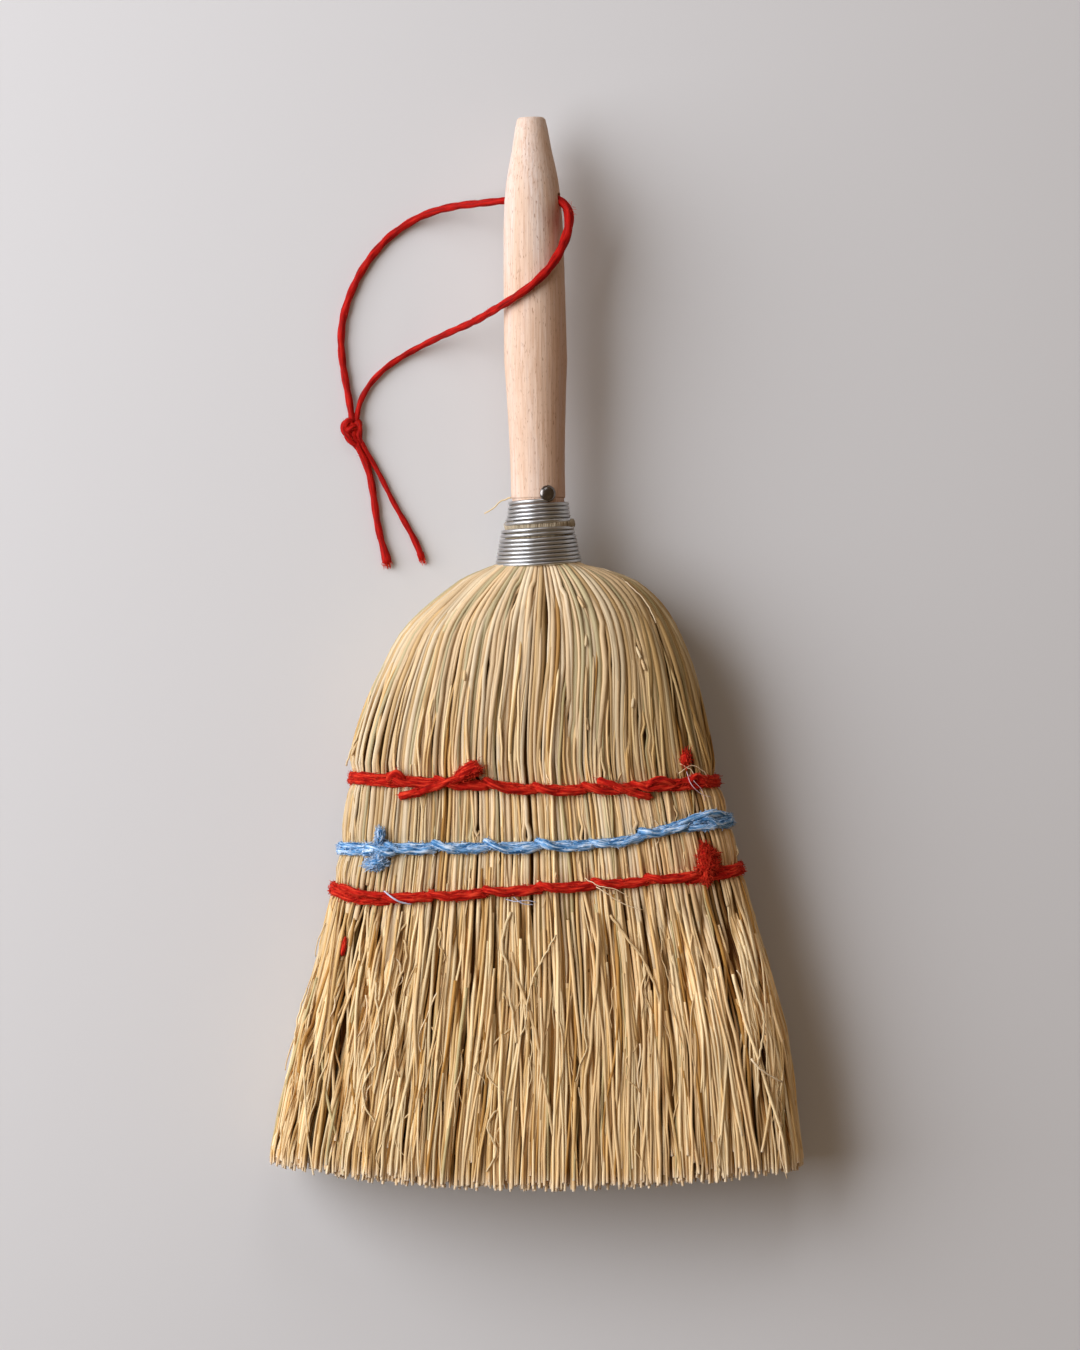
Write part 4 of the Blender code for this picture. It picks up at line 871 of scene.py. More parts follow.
def skinPoint(hank, across, y):
    middle, wide, thick, square = sectionAt(y)
    if not hank["side"]:
        share = boundaryShare(hank["first"] + across, y)
        high = np.maximum(1 - np.abs(share) ** square, 0) ** (1 / square)
        return middle + wide * share, hank["face"] * thick * high
    edge = np.arccos(np.clip(boundaryShare(straw["hanksAFace"], y), -1, 1) ** (square / 2))
    turn = edge * (1 - 2 * across)
    return (middle + hank["side"] * wide * signedPower(np.cos(turn), 2 / square),
            thick * signedPower(np.sin(turn), 2 / square))


def corePoint(hank, across, y):
    middle, wide, _, _ = sectionAt(y)
    flat = fanShare(y)
    bore = straw["bore"]
    around = np.maximum(bore["radius"] - np.maximum(bore["top"] - y, 0) * bore["narrows"], bore["least"])
    centre = lerp(axisX(y), middle, flat)
    if not hank["side"]:
        column, angle = columnShare(hank["first"] + across), neckAngle(hank["first"] + across)
        return (centre + lerp(around * np.cos(angle), wide * column, flat),
                hank["face"] * lerp(around * np.sin(angle), 0.2, flat))
    angle = straw["sideNeckAngle"] * (1 - 2 * across)
    return (centre + hank["side"] * lerp(around * np.cos(angle), wide * (1 - straw["sideShare"]), flat),
            lerp(around * np.sin(angle), 0.2 * (1 - 2 * across), flat))


def valleyAt(x, y):
    # below the rows the strands keep together in bunches with deep valleys between them; the valleys are also
    # painted darker and browner, as shade
    bunch = np.sin(x / straw["bunch"] + 1.6 * np.sin(x / 5.3 + y / 38) + y / 60)
    return np.clip((bunch - 0.5) / 0.4, 0, 1) * rise(y, -74, -90) * (1 - 0.6 * rise(y, -148, -168))


def strawLine(hank, across, y, sink, wander, depth=1.0, valley=0.0):
    # the line of one strand and the way out of the straw along it: across its hank, from the core at depth 0
    # to the skin at 1, sunk below the skin and wandering sideways
    across, depth = np.broadcast_to(across, y.shape), np.broadcast_to(depth, y.shape)
    skinX, skinZ = skinPoint(hank, across, y)
    coreX, coreZ = corePoint(hank, across, y)
    x, z = lerp(coreX, skinX, depth), lerp(coreZ, skinZ, depth)
    middle, wide, thick, square = sectionAt(y)
    outX = signedPower((skinX - middle) / wide, square - 1) / wide
    outZ = signedPower(skinZ / thick, square - 1) / thick
    size = np.maximum(np.hypot(outX, outZ), 1e-9)
    outX, outZ = outX / size, outZ / size
    squeeze, parting, least = np.zeros_like(x), np.zeros_like(x), np.full_like(x, -9.0)
    for row in rows:
        above = y - rowLevel(row, skinX)
        tight = straw["pinch"] + straw["sidePull"][row] * outX ** 2
        squeeze += np.exp(-(above / straw["pinchReach"]) ** 2) * tight
        least = np.maximum(least, tight + 0.25 - np.abs(above / 2.9) ** 2)  # nothing rises over the twine
        parting += np.exp(-((above - straw["notchAbove"]) / straw["notchReach"]) ** 2)
    edge = np.minimum(np.abs(1 - 2 * across), 1) ** 7
    sink = np.maximum(sink + depth * (squeeze + 0.8 * parting * edge), least * depth)
    sink = sink + valley * valleyAt(x, y)
    x = x + straw["notch"] * 0.3 * parting * edge * (hank["side"] or np.where(across < 0.5, 1, -1))
    x = x - outX * sink + outZ * wander
    z = z - outZ * sink - outX * wander
    return np.stack([x, y, z + straw["axisHeight"]], 1), np.stack([outX, np.zeros_like(outX), outZ], 1)


def tipAt(x):
    # where the free ends are cut, on a slight curve that rises less on the right
    return straw["tipLevel"] + 1.6 + straw["tipRise"] * (x / straw["tipHalf"]) ** 2 * np.where(x > 0, 0.82, 1)


strawTones = {name: np.array(hexColour(code)) for name, code in straw["colours"].items()}


def pickTone(blend, spread=0.1):
    names, shares = zip(*straw["blends"][blend].items())
    name = chance.choice(names, p=np.array(shares) / sum(shares))
    return strawTones[name] * chance.uniform(1 - spread, 1 + spread)


def wave(y, amplitude, shortest, longest):
    high = chance.normal(0, amplitude)
    return high * np.sin(y / chance.uniform(shortest, longest) + chance.uniform(0, math.tau))


def partAtGaps(line, hank):
    # here and there on the front two bunches of stalks part and the dark inside shows
    for x, y, wide, long in straw["gaps"] if hank["face"] > 0 else ():
        away = line[:, 0] - x - straw["gapLean"] * (x - neckMiddle) * (y - line[:, 1])
        near = np.exp(-(away / straw["gapReach"]) ** 2 - ((line[:, 1] - y) / long) ** 2)
        line[:, 0] += np.sign(away) * wide * near
    return line


def betweenRows(y):
    return np.exp(-((y + 60) / 19) ** 4)


def regionShadeAndTone(line):
    # painted shade on the right shoulder and on the right between the rows, where the light from the left
    # falls off; darker on the left between the rows and paler on the right below them
    x, y = line[:, :1], line[:, 1:2]
    places = {
        "shadedShoulder": rise(x, 12, 42) * rise(y, -52, -38),
        "leftRows": betweenRows(y) * rise(x, -16, -42),
        "shadedRightRows": betweenRows(y) * rise(x, 24, 48),
        "paleRightBelow": rise(x, 25, 50) * rise(y, -84, -96) * rise(y, -132, -118),
    }
    factor = 1
    for name, strength in places.items():
        factor = factor * (1 - strength * straw["paintedShadeAndTone"][name])
    return factor


# painted shade: darker and browner in the valleys between the bunches
def valleyPaintedShade(x, y):
    return 1 - valleyAt(x, y)[:, None] * straw["valleyShade"]


stalkLevels = np.concatenate([straw["stalkLevels"], np.arange(-38.5, -90, -2.4), np.arange(-93, -176, -5.5)])


def growStalk(heap, hank, across, layer, blend, drift=0.0):
    # a round stalk from the binding down; most of them end in a spray of fibres
    foot = chance.uniform(*(straw["shortFoot"] if chance.random() < 0.54 else straw["longFoot"]))
    foot = max(foot, float(tipAt(skinPoint(hank, across, foot)[0])) + chance.uniform(0.5, 3))
    y = stalkLevels[stalkLevels > foot]
    y = np.concatenate([[straw["cutTop"] - chance.uniform(0, 0.9)], y[1:], [foot]])
    radius = chance.uniform(0.58, 1.25) * np.interp(y, *np.array(straw["stalkRadius"]).T)
    under = layer > 2
    buried = chance.uniform(1.5, 2.6) if under else chance.choice(straw["buried"]) + chance.uniform(0, 0.3)
    between = betweenRows(y)  # where they lie side by side, pale and pressed flat
    below = radius * 0.7 + buried * (1 - 0.45 * between) + wave(y, 0.22, 9, 20)
    sink = lerp(0.55 + layer * 1.05, below, rise(y, 28.5, 2.5))
    wander = (wave(y, 0.28, 14, 30) + wave(y, 0.07, 4, 7)) * rise(y, 22, -8)
    drift = drift + chance.normal(0, 0.035)
    acrossLine = np.clip(across + chance.normal(0, 0.012) + drift * rise(y, 27, -48), -0.03, 1.03)
    line, outward = strawLine(hank, acrossLine, y, sink, wander, valley=straw["valley"])
    line[:, 2] = np.maximum(line[:, 2], radius * 0.75 + 0.02)
    line[0, 1] += 0.055 * (line[0, 0] - 1)  # the cut ends slope like the turns of the wire
    line = partAtGaps(line, hank)
    tone, paler = pickTone(blend), pickTone("fading")
    tone = lerp(tone, tone if under else paler, rise(y, -40, -100)[:, None] * 0.6)
    # under stalks get painted shade, darker and browner
    tone = tone * chance.uniform(0.94, 1.05, (len(y), 1)) * (straw["paintedShadeUnderStalk"] if under else (1, 1, 1))
    yellower = lerp(np.array([1, 0.98, 0.95]), np.array([1, 0.93, 0.78]), rise(y, -70, -120)[:, None])
    tone = tone * (1 + (0.3 if under else 0.11) * between[:, None]) * yellower
    # painted shade: darker on the right side and in the valleys below the rows
    tone = tone * regionShadeAndTone(line) * valleyPaintedShade(line[:, 0], y)
    weathered = (y > straw["greyAbove"])[:, None]
    tone = np.where(weathered, lerp(tone * 0.7, strawTones["stub"] * chance.uniform(0.75, 1.0), 0.82), tone)
    addTube(heap, line, radius, 7, tone, outward=outward, flat=0.8)
    for _ in range(chance.integers(3, 5 if under else 6)):
        start = foot + chance.uniform(-3, 10) if foot > -130 else chance.uniform(-118, -70)
        deep, thick = buried + chance.uniform(-0.2, 0.9), chance.uniform(0.32, 0.64)
        growFibre(heap, hank, across + drift, start, deep, thick, under)


def growShoot(heap, hank):
    # a thinner stalk that starts between the others and rises to the surface above the rows
    start, across, sink = chance.uniform(-36, 14), chance.uniform(0.03, 0.97), chance.uniform(0.1, 0.6)
    growFibre(heap, hank, across, start, sink, chance.uniform(0.36, 0.62), False, rising=2.2)


def growFibre(heap, hank, across, start, sink, thick, under, rising=0.0):
    end, even = straw["tipLevel"], straw["evenBelow"]
    y = np.linspace(start, end, max(int((start - end) / 3.8), 6))
    if start > even:
        upper = np.linspace(start, even, max(int((start - even) / 3.5), 1), endpoint=False)
        y = np.concatenate([upper, np.linspace(even, end, 21)])
    spread = chance.normal(0, 0.09)
    slanting = not under and chance.random() < 0.14  # some lie slantwise over the others
    if slanting:
        spread = chance.choice([-1, 1]) * chance.uniform(0.12, 0.32)
        sink = chance.uniform(-0.1, 0.4)
    gone = start - y
    loose = 0.3 * rise(y, -88, -133)  # below the rows a strand can stray over its neighbours
    acrossLine = across + spread * ease(gone / (80 if slanting else 55)) + chance.normal(0, 0.03) * gone / 90
    lively = 0.4 if under else 1.0
    wander = (wave(y, 0.42 * lively, 8, 20) + wave(y, 0.13 * lively, 2.4, 4.6)) * ease(gone / 16)
    lift = 0
    if chance.random() < 0.25 * lively:
        high, place, reach = abs(chance.normal(0, 0.8)), chance.uniform(-165, -90), chance.uniform(8, 20)
        lift = -high * np.exp(-((y - place) / reach) ** 2)
    deep = np.maximum(sink, -0.1 if slanting else 0.3) + lift + wave(y, 0.25, 5, 14) * ease(gone / 16)
    deep = deep + rising * (1 - ease(gone / 14))
    radius = thick * np.interp(y, [end, -150, -95, start + 0.1], [0.92, 1, 1.05, 0.8])
    line, outward = strawLine(hank, np.clip(acrossLine, 0.01 - loose, 0.99 + loose), y, deep, wander,
                              valley=0.1 if slanting else straw["valley"])
    line = partAtGaps(line, hank)
    stop = tipAt(line[-1, 0]) + np.clip(chance.normal(0.6, 1.0), -1.2, 4)
    if chance.random() < 0.16:
        stop += chance.uniform(2, 14)
    levels = lerp(start, stop, (line[:, 1] - start) / (end - start))
    x, z = (np.interp(-levels, -line[:, 1], line[:, axis]) for axis in (0, 2))
    line = np.stack([x, levels, z], 1)
    line = np.vstack([line[:-1], lerp(line[-2], line[-1], 0.86), line[-1]])
    outward = np.vstack([outward, outward[-1]])
    radius = np.append(radius, radius[-1])
    line[:, 2] = np.maximum(line[:, 2], radius + 0.02)
    tone = pickTone("underFibre" if under else "fibre", spread=0.14)
    # under fibres get painted shade, darker and browner
    tone = tone * chance.uniform(0.94, 1.07, (len(line), 1)) * straw["paintedShadeUnderFibre" if under else "fibreBrown"]
    # painted shade on the right side
    tone = tone * regionShadeAndTone(line)
    # painted shade in the valleys
    if not slanting:
        tone = tone * valleyPaintedShade(line[:, 0], line[:, 1])
    tone[-2:] = lerp(tone[-2:], strawTones["cut"], np.array([[0.4], [1.0]]))  # the cut ends are palest
    addTube(heap, line, radius, 5, tone, outward=outward, flat=0.9)


def growFray(heap, hank):
    # a fine split fibre that curls off the surface
    low = chance.random() < 0.75
    start = chance.uniform(-155, -88) if low else chance.uniform(-80, -36)
    length = chance.uniform(12, 34) if low else chance.uniform(4, 8)
    y = np.linspace(start, max(start - length, straw["tipLevel"] + 4), 20)
    share = np.linspace(0, 1, 20)
    bend = chance.normal(0, 1.7) * np.sin(share * math.pi * chance.uniform(0.6, 1.3))
    bend = bend + chance.normal(0, 1.4) * share
    bend = bend + chance.normal(0, 0.3) * np.sin(share * chance.uniform(9, 16))
    lift = chance.uniform(0.3, 1.1) * np.sin(share * math.pi * chance.uniform(0.6, 0.95)) + 0.1
    line, _ = strawLine(hank, chance.uniform(0.08, 0.92), y, 0.5 - lift, bend * min(length / 14, 1.3))
    thick = np.linspace(0.3, 0.15, 20) * chance.uniform(0.8, 1.25)
    addTube(heap, line, thick, 4, pickTone("fray") * [1, 0.92, 0.76])


def growNub(heap, hank, across, y):
    # a short broken stub where a side shoot was stripped
    levels = y + np.array([2.3, 1.1, 0.0, -1.0, -1.6])
    aside = np.array([0, 0.1, 0.25, 0.45, 0.55]) * chance.choice([-1, 1])
    line, _ = strawLine(hank, across, levels, np.array([0.9, 0.35, 0.0, -0.25, -0.3]), aside)
    thick = np.array([0.36, 0.5, 0.54, 0.48, 0.28]) * chance.uniform(0.85, 1.1)
    addTube(heap, line, thick, 6, pickTone("nub") * [1, 0.95, 0.85])


def skinHeight(x, y, most=0.995):
    # the skin's height over the axis, with its share of the width held below the most
    middle, wide, thick, square = sectionAt(y)
    share = np.clip(np.abs(x - middle) / wide, 0, most)
    return thick * (1 - share ** square) ** (1 / square)


def hankAt(x, y):
    # the hank that shows at a place on the front
    middle, wide, _, _ = sectionAt(y)
    edges = [boundaryShare(boundary, y) for boundary in range(straw["hanksAFace"] + 1)]
    column = int(np.searchsorted(edges, (x - middle) / wide))
    sides = {0: "left_side_hank", straw["hanksAFace"] + 1: "right_side_hank"}
    return sides.get(column, f"front_hank_{column}")


def overFront(places, pressed=0.0):
    # x and y as the camera sees them with a height over the straw, moved to where they are
    axis = straw["axisHeight"]
    return placeSeen([(x, y, axis + skinHeight(x, y) - pressed + above) for x, y, above in places])


def growStray(heap, radius, toneName, places):
    line = smoothRoute(overFront(places), 1.4, soften=2)
    tone = strawTones[toneName] * chance.uniform(0.96, 1.04, (len(line), 1))
    line[1:-1] += chance.normal(0, 0.13, (len(line) - 2, 3))
    addTube(heap, line, radius * np.linspace(0.92, 0.7, len(line)), 6, tone * [1, 0.94, 0.8])


def growInner(heap, hank, across, depth):
    # a fibre inside, which shows only where the free ends are cut
    top, tip = straw["innerTop"], straw["tipLevel"]
    y = np.linspace(top, tip, 7)
    line, outward = strawLine(hank, across, y, 0.8, chance.normal(0, 0.5, len(y)), depth=depth)
    stop = tipAt(line[-1, 0]) + chance.uniform(0.2, 3.2)
    line[:, 1] = lerp(top, stop, (line[:, 1] - top) / (tip - top))
    line[:, 2] = np.maximum(line[:, 2], 0.6)
    # painted shade: the fibres inside are coloured darker and browner than the straw outside
    tones = np.repeat(pickTone("inner")[None], len(line), 0) * 0.62 * [1, 0.93, 0.78]
    tones[-1] = strawTones["cut"] * 0.95
    addTube(heap, line, 0.62, 4, tones, outward=outward)


def growCore(heap, hank):
    # the imported stalks behind the visible ones, as one sheet in the dark brown core colour: painted shade
    # where the gaps between stalks open onto it
    y = np.array([40.5, 34, 29, 26, 22, 16, 9, 0, -12, -25, -38, -52, -66, -80, -95, -112, -128])
    outer = [(across, np.interp(y, *straw["coreSink"]), 1.0) for across in np.linspace(0.03, 0.97, 7)]
    inner = [(across, 0.0, 0.03) for across in np.linspace(0.97, 0.03, 5)]
    lines = [strawLine(hank, across, y, sink, 0, depth=depth)[0] for across, sink, depth in outer + inner]
    rings = np.stack(lines, 1)
    if hank["face"] > 0 or hank["side"] > 0:
        rings = rings[:, ::-1]
    heap.append({"rings": rings, "tone": np.repeat([[*strawTones["core"], 1]], len(y), 0),
                 "along": alongOf(rings.mean(1)), "round": 60.0})


brushStraw, tree, shader = newMaterial("driedBroomCorn", {"IOR": 1.5, "Specular IOR Level": 0.26})
strandUv = addNode(tree, "ShaderNodeUVMap", {"uv_map": "strand"}).outputs[0]
toneOf = addNode(tree, "ShaderNodeAttribute", {"attribute_name": "tone"}).outputs["Color"]
ribs = grainOf(tree, strandUv, *straw["ribSize"], 4, 0.65)
patches = grainOf(tree, strandUv, *straw["patchSize"], 3)
limits = {"From Min": 0.3, "From Max": 0.7, "To Min": 0.8, "To Max": 1.12}
ribShade = addNode(tree, "ShaderNodeMapRange", limits, {"Value": ribs}).outputs[0]
shaded = addNode(tree, "ShaderNodeVectorMath", {"operation": "SCALE"}, {0: toneOf, "Scale": ribShade})
spotted = layOver(tree, shaded.outputs[0], straw["colours"]["ginger"], patches, (0.56, 0.74), (0, 0.3))
finishWith(tree, shader, spotted, dull=(ribs, 0.42, 0.7), relief=(ribs, 0.3, 0.2))

hanks = [{"name": f"{label}_hank_{count + 1}", "first": count, "face": face, "side": 0}
         for face, label in ((1, "front"), (-1, "back")) for count in range(straw["hanksAFace"])]
hanks += [{"name": f"{label}_side_hank", "first": 0, "face": 0, "side": side}
          for side, label in ((-1, "left"), (1, "right"))]
totalFaces = 0
for hank in hanks:
    heap = []
    growCore(heap, hank)
    wider = 2.0 if hank["side"] else 1.0
    stalks, under, crossing, shoots, frays = (int(amount * wider) for amount in straw["aHank"].values())
    for count in range(stalks):
        growStalk(heap, hank, lerp(0.02, 0.98, count / (stalks - 1)), (0, 2, 1)[count % 3], "stalk")
    for count in range(under):
        growStalk(heap, hank, (count + chance.uniform(0.1, 0.9)) / under, 3, "underStalk")
    for _ in range(crossing):
        growStalk(heap, hank, chance.uniform(0.15, 0.85), 1, "stalk",
                  drift=chance.choice([-1, 1]) * chance.uniform(*straw["crossed"]))
    for _ in range(shoots):
        growShoot(heap, hank)
    for _ in range(frays):
        growFray(heap, hank)
    if chance.random() < 0.4:
        growNub(heap, hank, chance.uniform(0.08, 0.92), chance.uniform(-34, 10))
    for radius, toneName, places in straw["strays"]:
        if hankAt(places[0][0], min(places[0][1], 44)) == hank["name"]:
            growStray(heap, radius, toneName, places)
    for x, y in straw["nubs"] if hank["face"] > 0 else ():
        middle, wide, _, _ = sectionAt(y)
        low, high = boundaryShare(hank["first"], y), boundaryShare(hank["first"] + 1, y)
        if low < (x - middle) / wide <= high:
            growNub(heap, hank, ((x - middle) / wide - low) / (high - low), y)
    columns = int(straw["innerColumns"] * (1.4 if hank["side"] else 1))
    for row in range(straw["innerRows"]):
        for column in range(columns):
            growInner(heap, hank, (column + chance.uniform(0.15, 0.85)) / columns,
                      (row + chance.uniform(0.2, 0.8)) / straw["innerRows"] * 0.86 + 0.03)
    made = buildPiece("straw_" + hank["name"], heap, brushStraw, "brush", [hank["name"]])
    totalFaces += len(made.data.polygons)
print("straw grown", totalFaces, "faces")


# Twine: two-ply spun yarn, dyed and hairy, sewn through the straw over a band of the same twine

twine = {
    "radius": 1.36,
    "flat": 0.78,
    "twist": 12.5,
    "groove": 0.21,
    "sides": 14,
    "colours": {"red": ("#7A0402", "#B81207", "#DE4429"), "blue": ("#12487A", "#629ACB", "#E2F0FC")},
    "edges": {"red": "#FF7A50", "blue": "#CFE6FF"},  # loose staple gives the yarn its pale edge
    "look": {
        "shader": {"Roughness": 0.9, "Specular IOR Level": 0.15,
                   "Sheen Weight": 0.16, "Sheen Roughness": 0.5},
        "stops": (0.39, 0.5, 0.61), "fibres": (6, 0.72), "slant": 0.5, "relief": (0.7, 0.3),
    },
    "hairs": 1900,
    "ringSquare": 3.2,  # squareness of the straw's section at the rows
    "bandHalf": 64,  # half the width of the rows
    "bandBeside": 0.45,
    "wrapBeside": 1.15,
    "stitchHalf": 63,
    "stitchSteps": (0.0, 0.05, 0.13, 0.24, 0.36, 0.5, 0.64, 0.78, 0.9, 0.97, 1.0),
    # how a stitch runs along its row: share of the stitch, beside the row, height over the straw
    "stitch": ((0.0, 1.35, -1.3), (0.05, 1.1, 0.9), (0.13, 0.75, 2.3), (0.24, 0.0, 2.75), (0.36, -0.55, 2.3),
               (0.55, -0.75, 1.9), (0.75, -0.7, 1.8), (0.9, -0.45, 1.6), (0.97, -0.3, 0.7),
               (1.0, -0.3, -1.3)),
    # loose ends, knots and second strands: how much of the radius is loose staple, how many hairs, the radius
    # from end to end, then x and y as the camera sees them and height over the straw
    "extras": {
        "upper": (
            (0.0, 90, (1.1, 1.35, 1.4, 1.35, 1.1),
             ((-48.4, -42.0, 1.6), (-46.8, -40.3, 2.3), (-45.4, -39.4, 2.4), (-44.2, -40.7, 2.2),
              (-42.8, -42.4, 1.6))),
            (0.0, 160, (1.5, 1.55, 1.45, 1.4, 1.4, 1.5),
             ((-44.6, -47.2, 1.2), (-39.3, -46.0, 1.7), (-34.0, -44.4, 2.2), (-28.8, -42.6, 2.5),
              (-24.8, -41.0, 2.6), (-22.4, -39.6, 2.5))),
            (0.12, 420, (1.8, 2.9, 3.3, 3.2),
             ((-26.0, -41.2, 1.9), (-23.4, -39.8, 2.1), (-21.0, -38.5, 2.1), (-18.2, -37.2, 1.7))),
            (0.0, 110, (1.3, 1.35, 1.35, 1.4, 1.4),
             ((20.4, -41.8, 0.8), (24.4, -43.1, 2.2), (29.5, -45.2, 2.4), (34.4, -46.6, 2.0),
              (37.9, -47.4, 1.4))),
            (0.0, 110, (1.3, 1.4, 1.4, 1.3),
             ((35.0, -44.8, 1.5), (38.6, -42.4, 2.5), (41.8, -41.7, 2.5), (45.6, -43.4, 1.5))),
            (0.0, 70, (1.1, 1.25, 1.25, 1.25, 1.1),
             ((50.0, -42.6, 1.4), (51.6, -41.0, 2.1), (53.0, -40.4, 2.2), (54.6, -41.4, 2.0),
              (55.8, -43.0, 1.4))),
            (0.15, 260, (1.5, 2.1, 2.2, 1.6),
             ((49.3, -36.7, 0.8), (49.1, -35.3, 1.2), (49.2, -33.9, 1.2), (49.4, -32.8, 0.9))),
        ),
        "middle": (
            (0.15, 320, (1.5, 1.9, 2.1, 1.7),
             ((-51.2, -62.8, 1.7), (-51.0, -61.2, 1.9), (-50.7, -59.6, 1.8), (-50.6, -57.8, 1.1))),
            (0.1, 160, (1.3, 1.5, 1.6, 1.4),
             ((-50.2, -64.8, 2.0), (-51.0, -66.6, 2.1), (-51.8, -68.2, 1.7), (-52.4, -69.8, 1.0))),
            (0.25, 560, (1.7, 2.6, 2.8, 2.0),
             ((-55.4, -69.0, 0.8), (-53.4, -69.3, 1.4), (-51.0, -69.0, 1.4), (-48.8, -68.2, 0.8))),
            (0.0, 160, (1.2, 1.4, 1.4, 1.2),
             ((-56.4, -65.6, 1.4), (-53.0, -64.8, 2.4), (-49.6, -64.6, 2.6), (-46.0, -65.2, 1.5))),
            (0.0, 160, (1.2, 1.3, 1.3, 1.1),
             ((-55.4, -63.2, 1.4), (-51.6, -64.7, 2.8), (-48.2, -65.8, 2.4), (-45.6, -65.9, 1.3))),
            (0.0, 160, (1.1, 1.3, 1.35, 1.2),
             ((46.6, -56.2, 1.6), (54.0, -53.6, 2.2), (58.9, -52.6, 2.1), (63.2, -53.9, 1.2))),
            (0.0, 160, (1.1, 1.25, 1.25, 1.2),
             ((50.0, -57.4, 1.4), (56.6, -57.2, 2.3), (61.2, -55.8, 2.0), (64.0, -55.2, 1.0))),
            (0.0, 130, (0.9, 1.1, 1.1, 1.0),
             ((51.6, -55.8, 2.0), (56.6, -54.8, 2.9), (60.2, -56.4, 2.4), (63.6, -56.8, 0.9))),
        ),
        "lower": (
            (0.3, 1200, (1.6, 2.6, 3.1, 3.2, 2.7, 1.8),
             ((56.6, -75.4, 1.2), (56.0, -73.0, 1.6), (56.6, -70.2, 1.7), (55.4, -67.4, 1.4),
              (56.0, -64.9, 1.1), (54.6, -62.8, 0.6))),
            (0.3, 500, (1.7, 2.6, 2.7, 1.7),
             ((53.4, -71.4, 0.9), (55.6, -70.4, 1.6), (57.6, -70.0, 1.6), (59.8, -68.8, 0.9))),
            (0.3, 420, (1.5, 2.3, 1.6), ((54.2, -66.2, 0.9), (56.8, -66.4, 1.5), (59.4, -65.6, 0.8))),
            (0.0, 90, (1.2, 1.3, 1.3, 1.2),
             ((-64.0, -76.4, 1.6), (-59.0, -78.4, 2.2), (-53.4, -79.4, 2.3), (-48.0, -79.6, 1.4))),
            (0.0, 34, (0.3, 0.8, 0.9, 0.4),
             ((-62.1, -93.0, 0.4), (-62.4, -95.4, 0.9), (-62.8, -97.4, 0.9), (-63.3, -99.4, 0.3))),
        ),
    },
    # pale threads caught in the rows: radius, then the places
    "threads": {
        "upper": ((0.08, ((50.4, -40.0, 1.8), (52.4, -42.6, 3.2), (54.6, -45.0, 2.6), (55.6, -48.6, 0.8))),
                  (0.1, ((49.6, -39.0, 1.6), (51.0, -43.0, 3.2), (54.2, -46.2, 2.2), (57.6, -47.4, 0.8)))),
        "lower": ((0.3, ((-49.4, -78.2, 1.8), (-46.6, -80.4, 3.2), (-44.0, -81.8, 2.4), (-40.4, -82.4, 1.0))),
                  (0.16, ((-9.6, -80.8, 1.2), (-6.4, -81.6, 1.8), (-3.0, -81.2, 1.6), (0.4, -81.8, 0.6))),
                  (0.14, ((-7.0, -80.0, 1.6), (-4.4, -82.2, 1.8), (-0.6, -82.6, 0.8)))),
    },
    "threadColours": {"upper": "#E9D3DC", "lower": "#C6CBE0"},
}
yarns = {dye: yarnMaterial(f"dyed{dye.title()}Yarn", twine["look"], colours, twine["edges"][dye])
         for dye, colours in twine["colours"].items()}
yarnRise = twine["radius"] * twine["flat"] - straw["pinch"]  # height of its axis over the straw's own skin


def surfacePoint(x, y, face, above):
    # a point over the straw's front or back where the rows press it in
    return np.array([x, y, straw["axisHeight"] + face * (skinHeight(x, y, 0.999) - straw["pinch"] + above)])


def addHairs(heap, path, radius, colours, hairs, loose=0.0):
    # staple that lies along the yarn and stands off it a little; in a tuft it is thicker, longer and curled
    thick, reach = 0.11 + loose * 0.03, 1.25 + loose * 1.5
    deep, pale = (np.array(hexColour(code)) for code in colours[1:])
    for _ in range(hairs):
        place = chance.integers(1, len(path) - 2)
        out = unit(chance.normal(0, 1, 3))
        start = path[place] + out * radius[place] * chance.uniform(0.7, 1.0 + loose * 0.6)
        way = path[place + 1] - path[place - 1] + chance.normal(0, 1.3, 3) * loose
        end = start + out * chance.uniform(0.1, reach) * chance.uniform(0.2, 1)
        end = end + way * chance.uniform(-1.4, 1.4)
        if min(start[2], end[2]) > 0.1:
            tone = lerp(deep, pale, chance.uniform(0, 1))
            addHair(heap, start, end, 0.18 + 0.5 * loose, np.array([1, 0.95, 0.5]) * thick, tone)


def addYarn(heap, path, radius, colours, hairs, outward=None, loose=0.0, rounded=False):
    along = alongOf(path)
    uneven = np.clip(wave(along, 0.06, 1.4, 3.5) + wave(along, 0.05, 0.5, 1.1), -0.13, 0.13)
    radius = np.broadcast_to(radius, (len(path),)) * (1 + uneven) * (1 - loose)
    if rounded:
        inside = np.minimum(along, along[-1] - along) / radius
        radius = radius * np.sqrt(1 - np.clip(1 - inside * 1.4, 0, 0.82) ** 2)
    addTube(heap, path, radius, twine["sides"], hexColour(colours[1]), groove=twine["groove"],
            twist=twine["twist"], outward=outward, flat=1.0 if outward is None else twine["flat"])
    addHairs(heap, path, radius, colours, hairs, loose)


def ringPoints(row, angle, beside, above):
    # round the straw along a row, beside its middle and above the skin
    shareX, shareZ = (signedPower(part, 2 / twine["ringSquare"]) for part in (np.cos(angle), np.sin(angle)))
    y = rowLevel(row, shareX * twine["bandHalf"]) + beside
    middle, wide, thick, _ = sectionAt(y)
    wide = wide - straw["sidePull"][row] * np.abs(shareX) ** 3
    return np.stack([middle + (wide + above) * shareX, y, straw["axisHeight"] + (thick + above) * shareZ], 1)


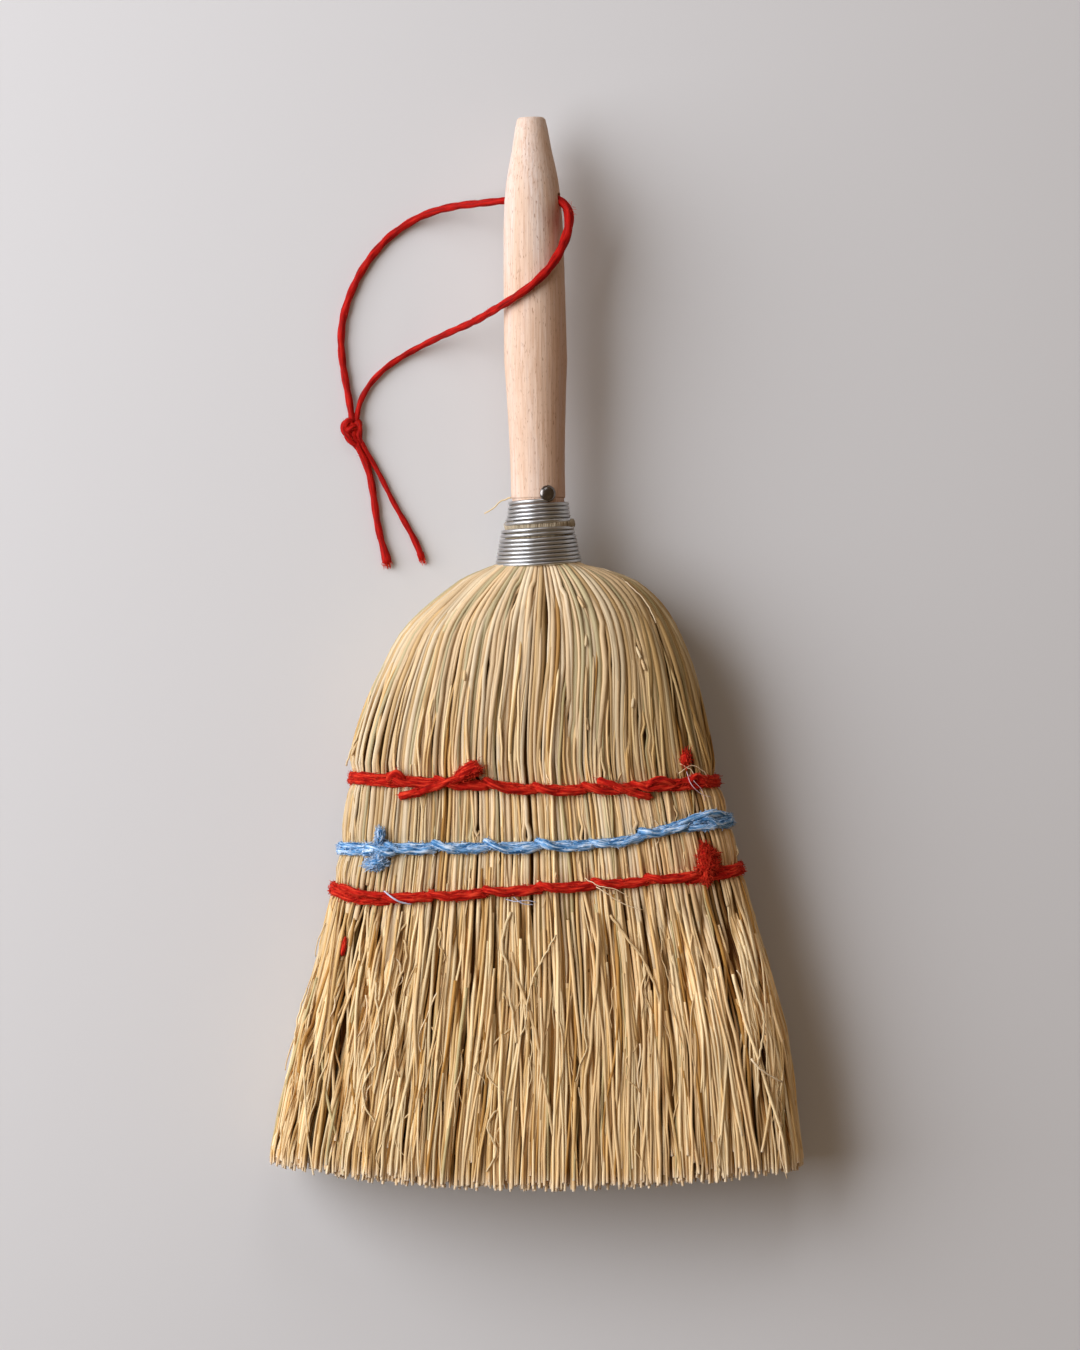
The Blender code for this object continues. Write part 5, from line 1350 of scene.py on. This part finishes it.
def bandPath(row):
    points = ringPoints(row, np.linspace(math.pi, -math.pi, 361)[:-1], twine["bandBeside"], yarnRise + 0.1)
    return smoothRoute(np.vstack([points, points[:1]])[::3], 0.7)


def wrapPath(row, side):
    # the yarn goes once more round the side hank, next to the band, and sinks into the straw at both ends
    turn = np.linspace(-1, 1, 41)
    angle = (math.pi if side < 0 else 0) + turn * 0.98
    above = yarnRise + 0.25 - 2.6 * np.abs(turn) ** 12
    return smoothRoute(ringPoints(row, angle, -twine["wrapBeside"], above), 0.6)


def outwardFrom(path):
    # away from the straw's middle, for the flattened side of a yarn that lies on it
    middle, wide, thick, square = sectionAt(path[:, 1])
    x, z = (path[:, 0] - middle) / (wide + 1), (path[:, 2] - straw["axisHeight"]) / (thick + 1)
    outX, outZ = signedPower(x, square - 1) / wide, signedPower(z, square - 1) / thick
    return unit(np.stack([outX, np.zeros(len(path)), outZ], 1))


def stitchPath(row):
    # through the straw at each boundary, over one hank, and back through: out along the row, then home over
    # the faces that are still bare
    places, besides, heights = np.array(twine["stitch"]).T
    points = []
    face, count = 1, straw["hanksAFace"]
    legs = [(hank, hank + 1) for hank in range(count)] + [(hank, hank - 1) for hank in range(count, 0, -1)]
    for first, last in legs:
        aside, raised = chance.uniform(0.6, 1.35), chance.uniform(0.85, 1.12)
        for share in twine["stitchSteps"][::1 if last > first else -1]:
            column = columnShare(min(first, last) + share)
            middle, wide, _, _ = sectionAt(rowLevel(row, column * twine["stitchHalf"]))
            x = middle + wide * column
            beside, over = np.interp(share, places, besides), np.interp(share, places, heights)
            over = over * raised if over > 1 else over
            points.append(surfacePoint(x, rowLevel(row, x) + beside * aside, face, over))
        face = -face
    return smoothRoute(points, 0.6, soften=3)


for row, dye in (("upper", "red"), ("middle", "blue"), ("lower", "red")):
    colours, yarn, slotName = twine["colours"][dye], yarns[dye], dye + "_twine"
    hairs = twine["hairs"] * (2 if dye == "blue" else 1)
    heap = []
    path = bandPath(row)
    addYarn(heap, path, twine["radius"], colours, hairs, outward=outwardFrom(path))
    buildPiece(row + "_row_band_yarn", heap, yarn, "brush", [row + "_row_band"])
    heap = []
    addYarn(heap, stitchPath(row), twine["radius"], colours, hairs)
    for side in (-1, 1):
        path = wrapPath(row, side)
        addYarn(heap, path, twine["radius"], colours, twine["hairs"] // 4, outward=outwardFrom(path))
    for loose, hairs, radii, places in twine["extras"][row]:
        path = smoothRoute(overFront(places, straw["pinch"] * 0.6), 0.5, soften=3)
        share = alongOf(path) / alongOf(path)[-1]
        radii = np.interp(share, np.linspace(0, 1, len(radii)), radii)
        addYarn(heap, path, radii, colours, hairs, loose=loose, rounded=True)
    for thick, places in twine["threads"].get(row, ()):
        path = smoothRoute(overFront(places, straw["pinch"] * 0.6), 0.5, soften=3)
        addTube(heap, path, thick, 6, hexColour(twine["threadColours"][row]), plain=True)
    buildPiece(row + "_row_stitching_yarn", heap, yarn, "brush", [row + "_row_stitching"])
print("rows sewn")
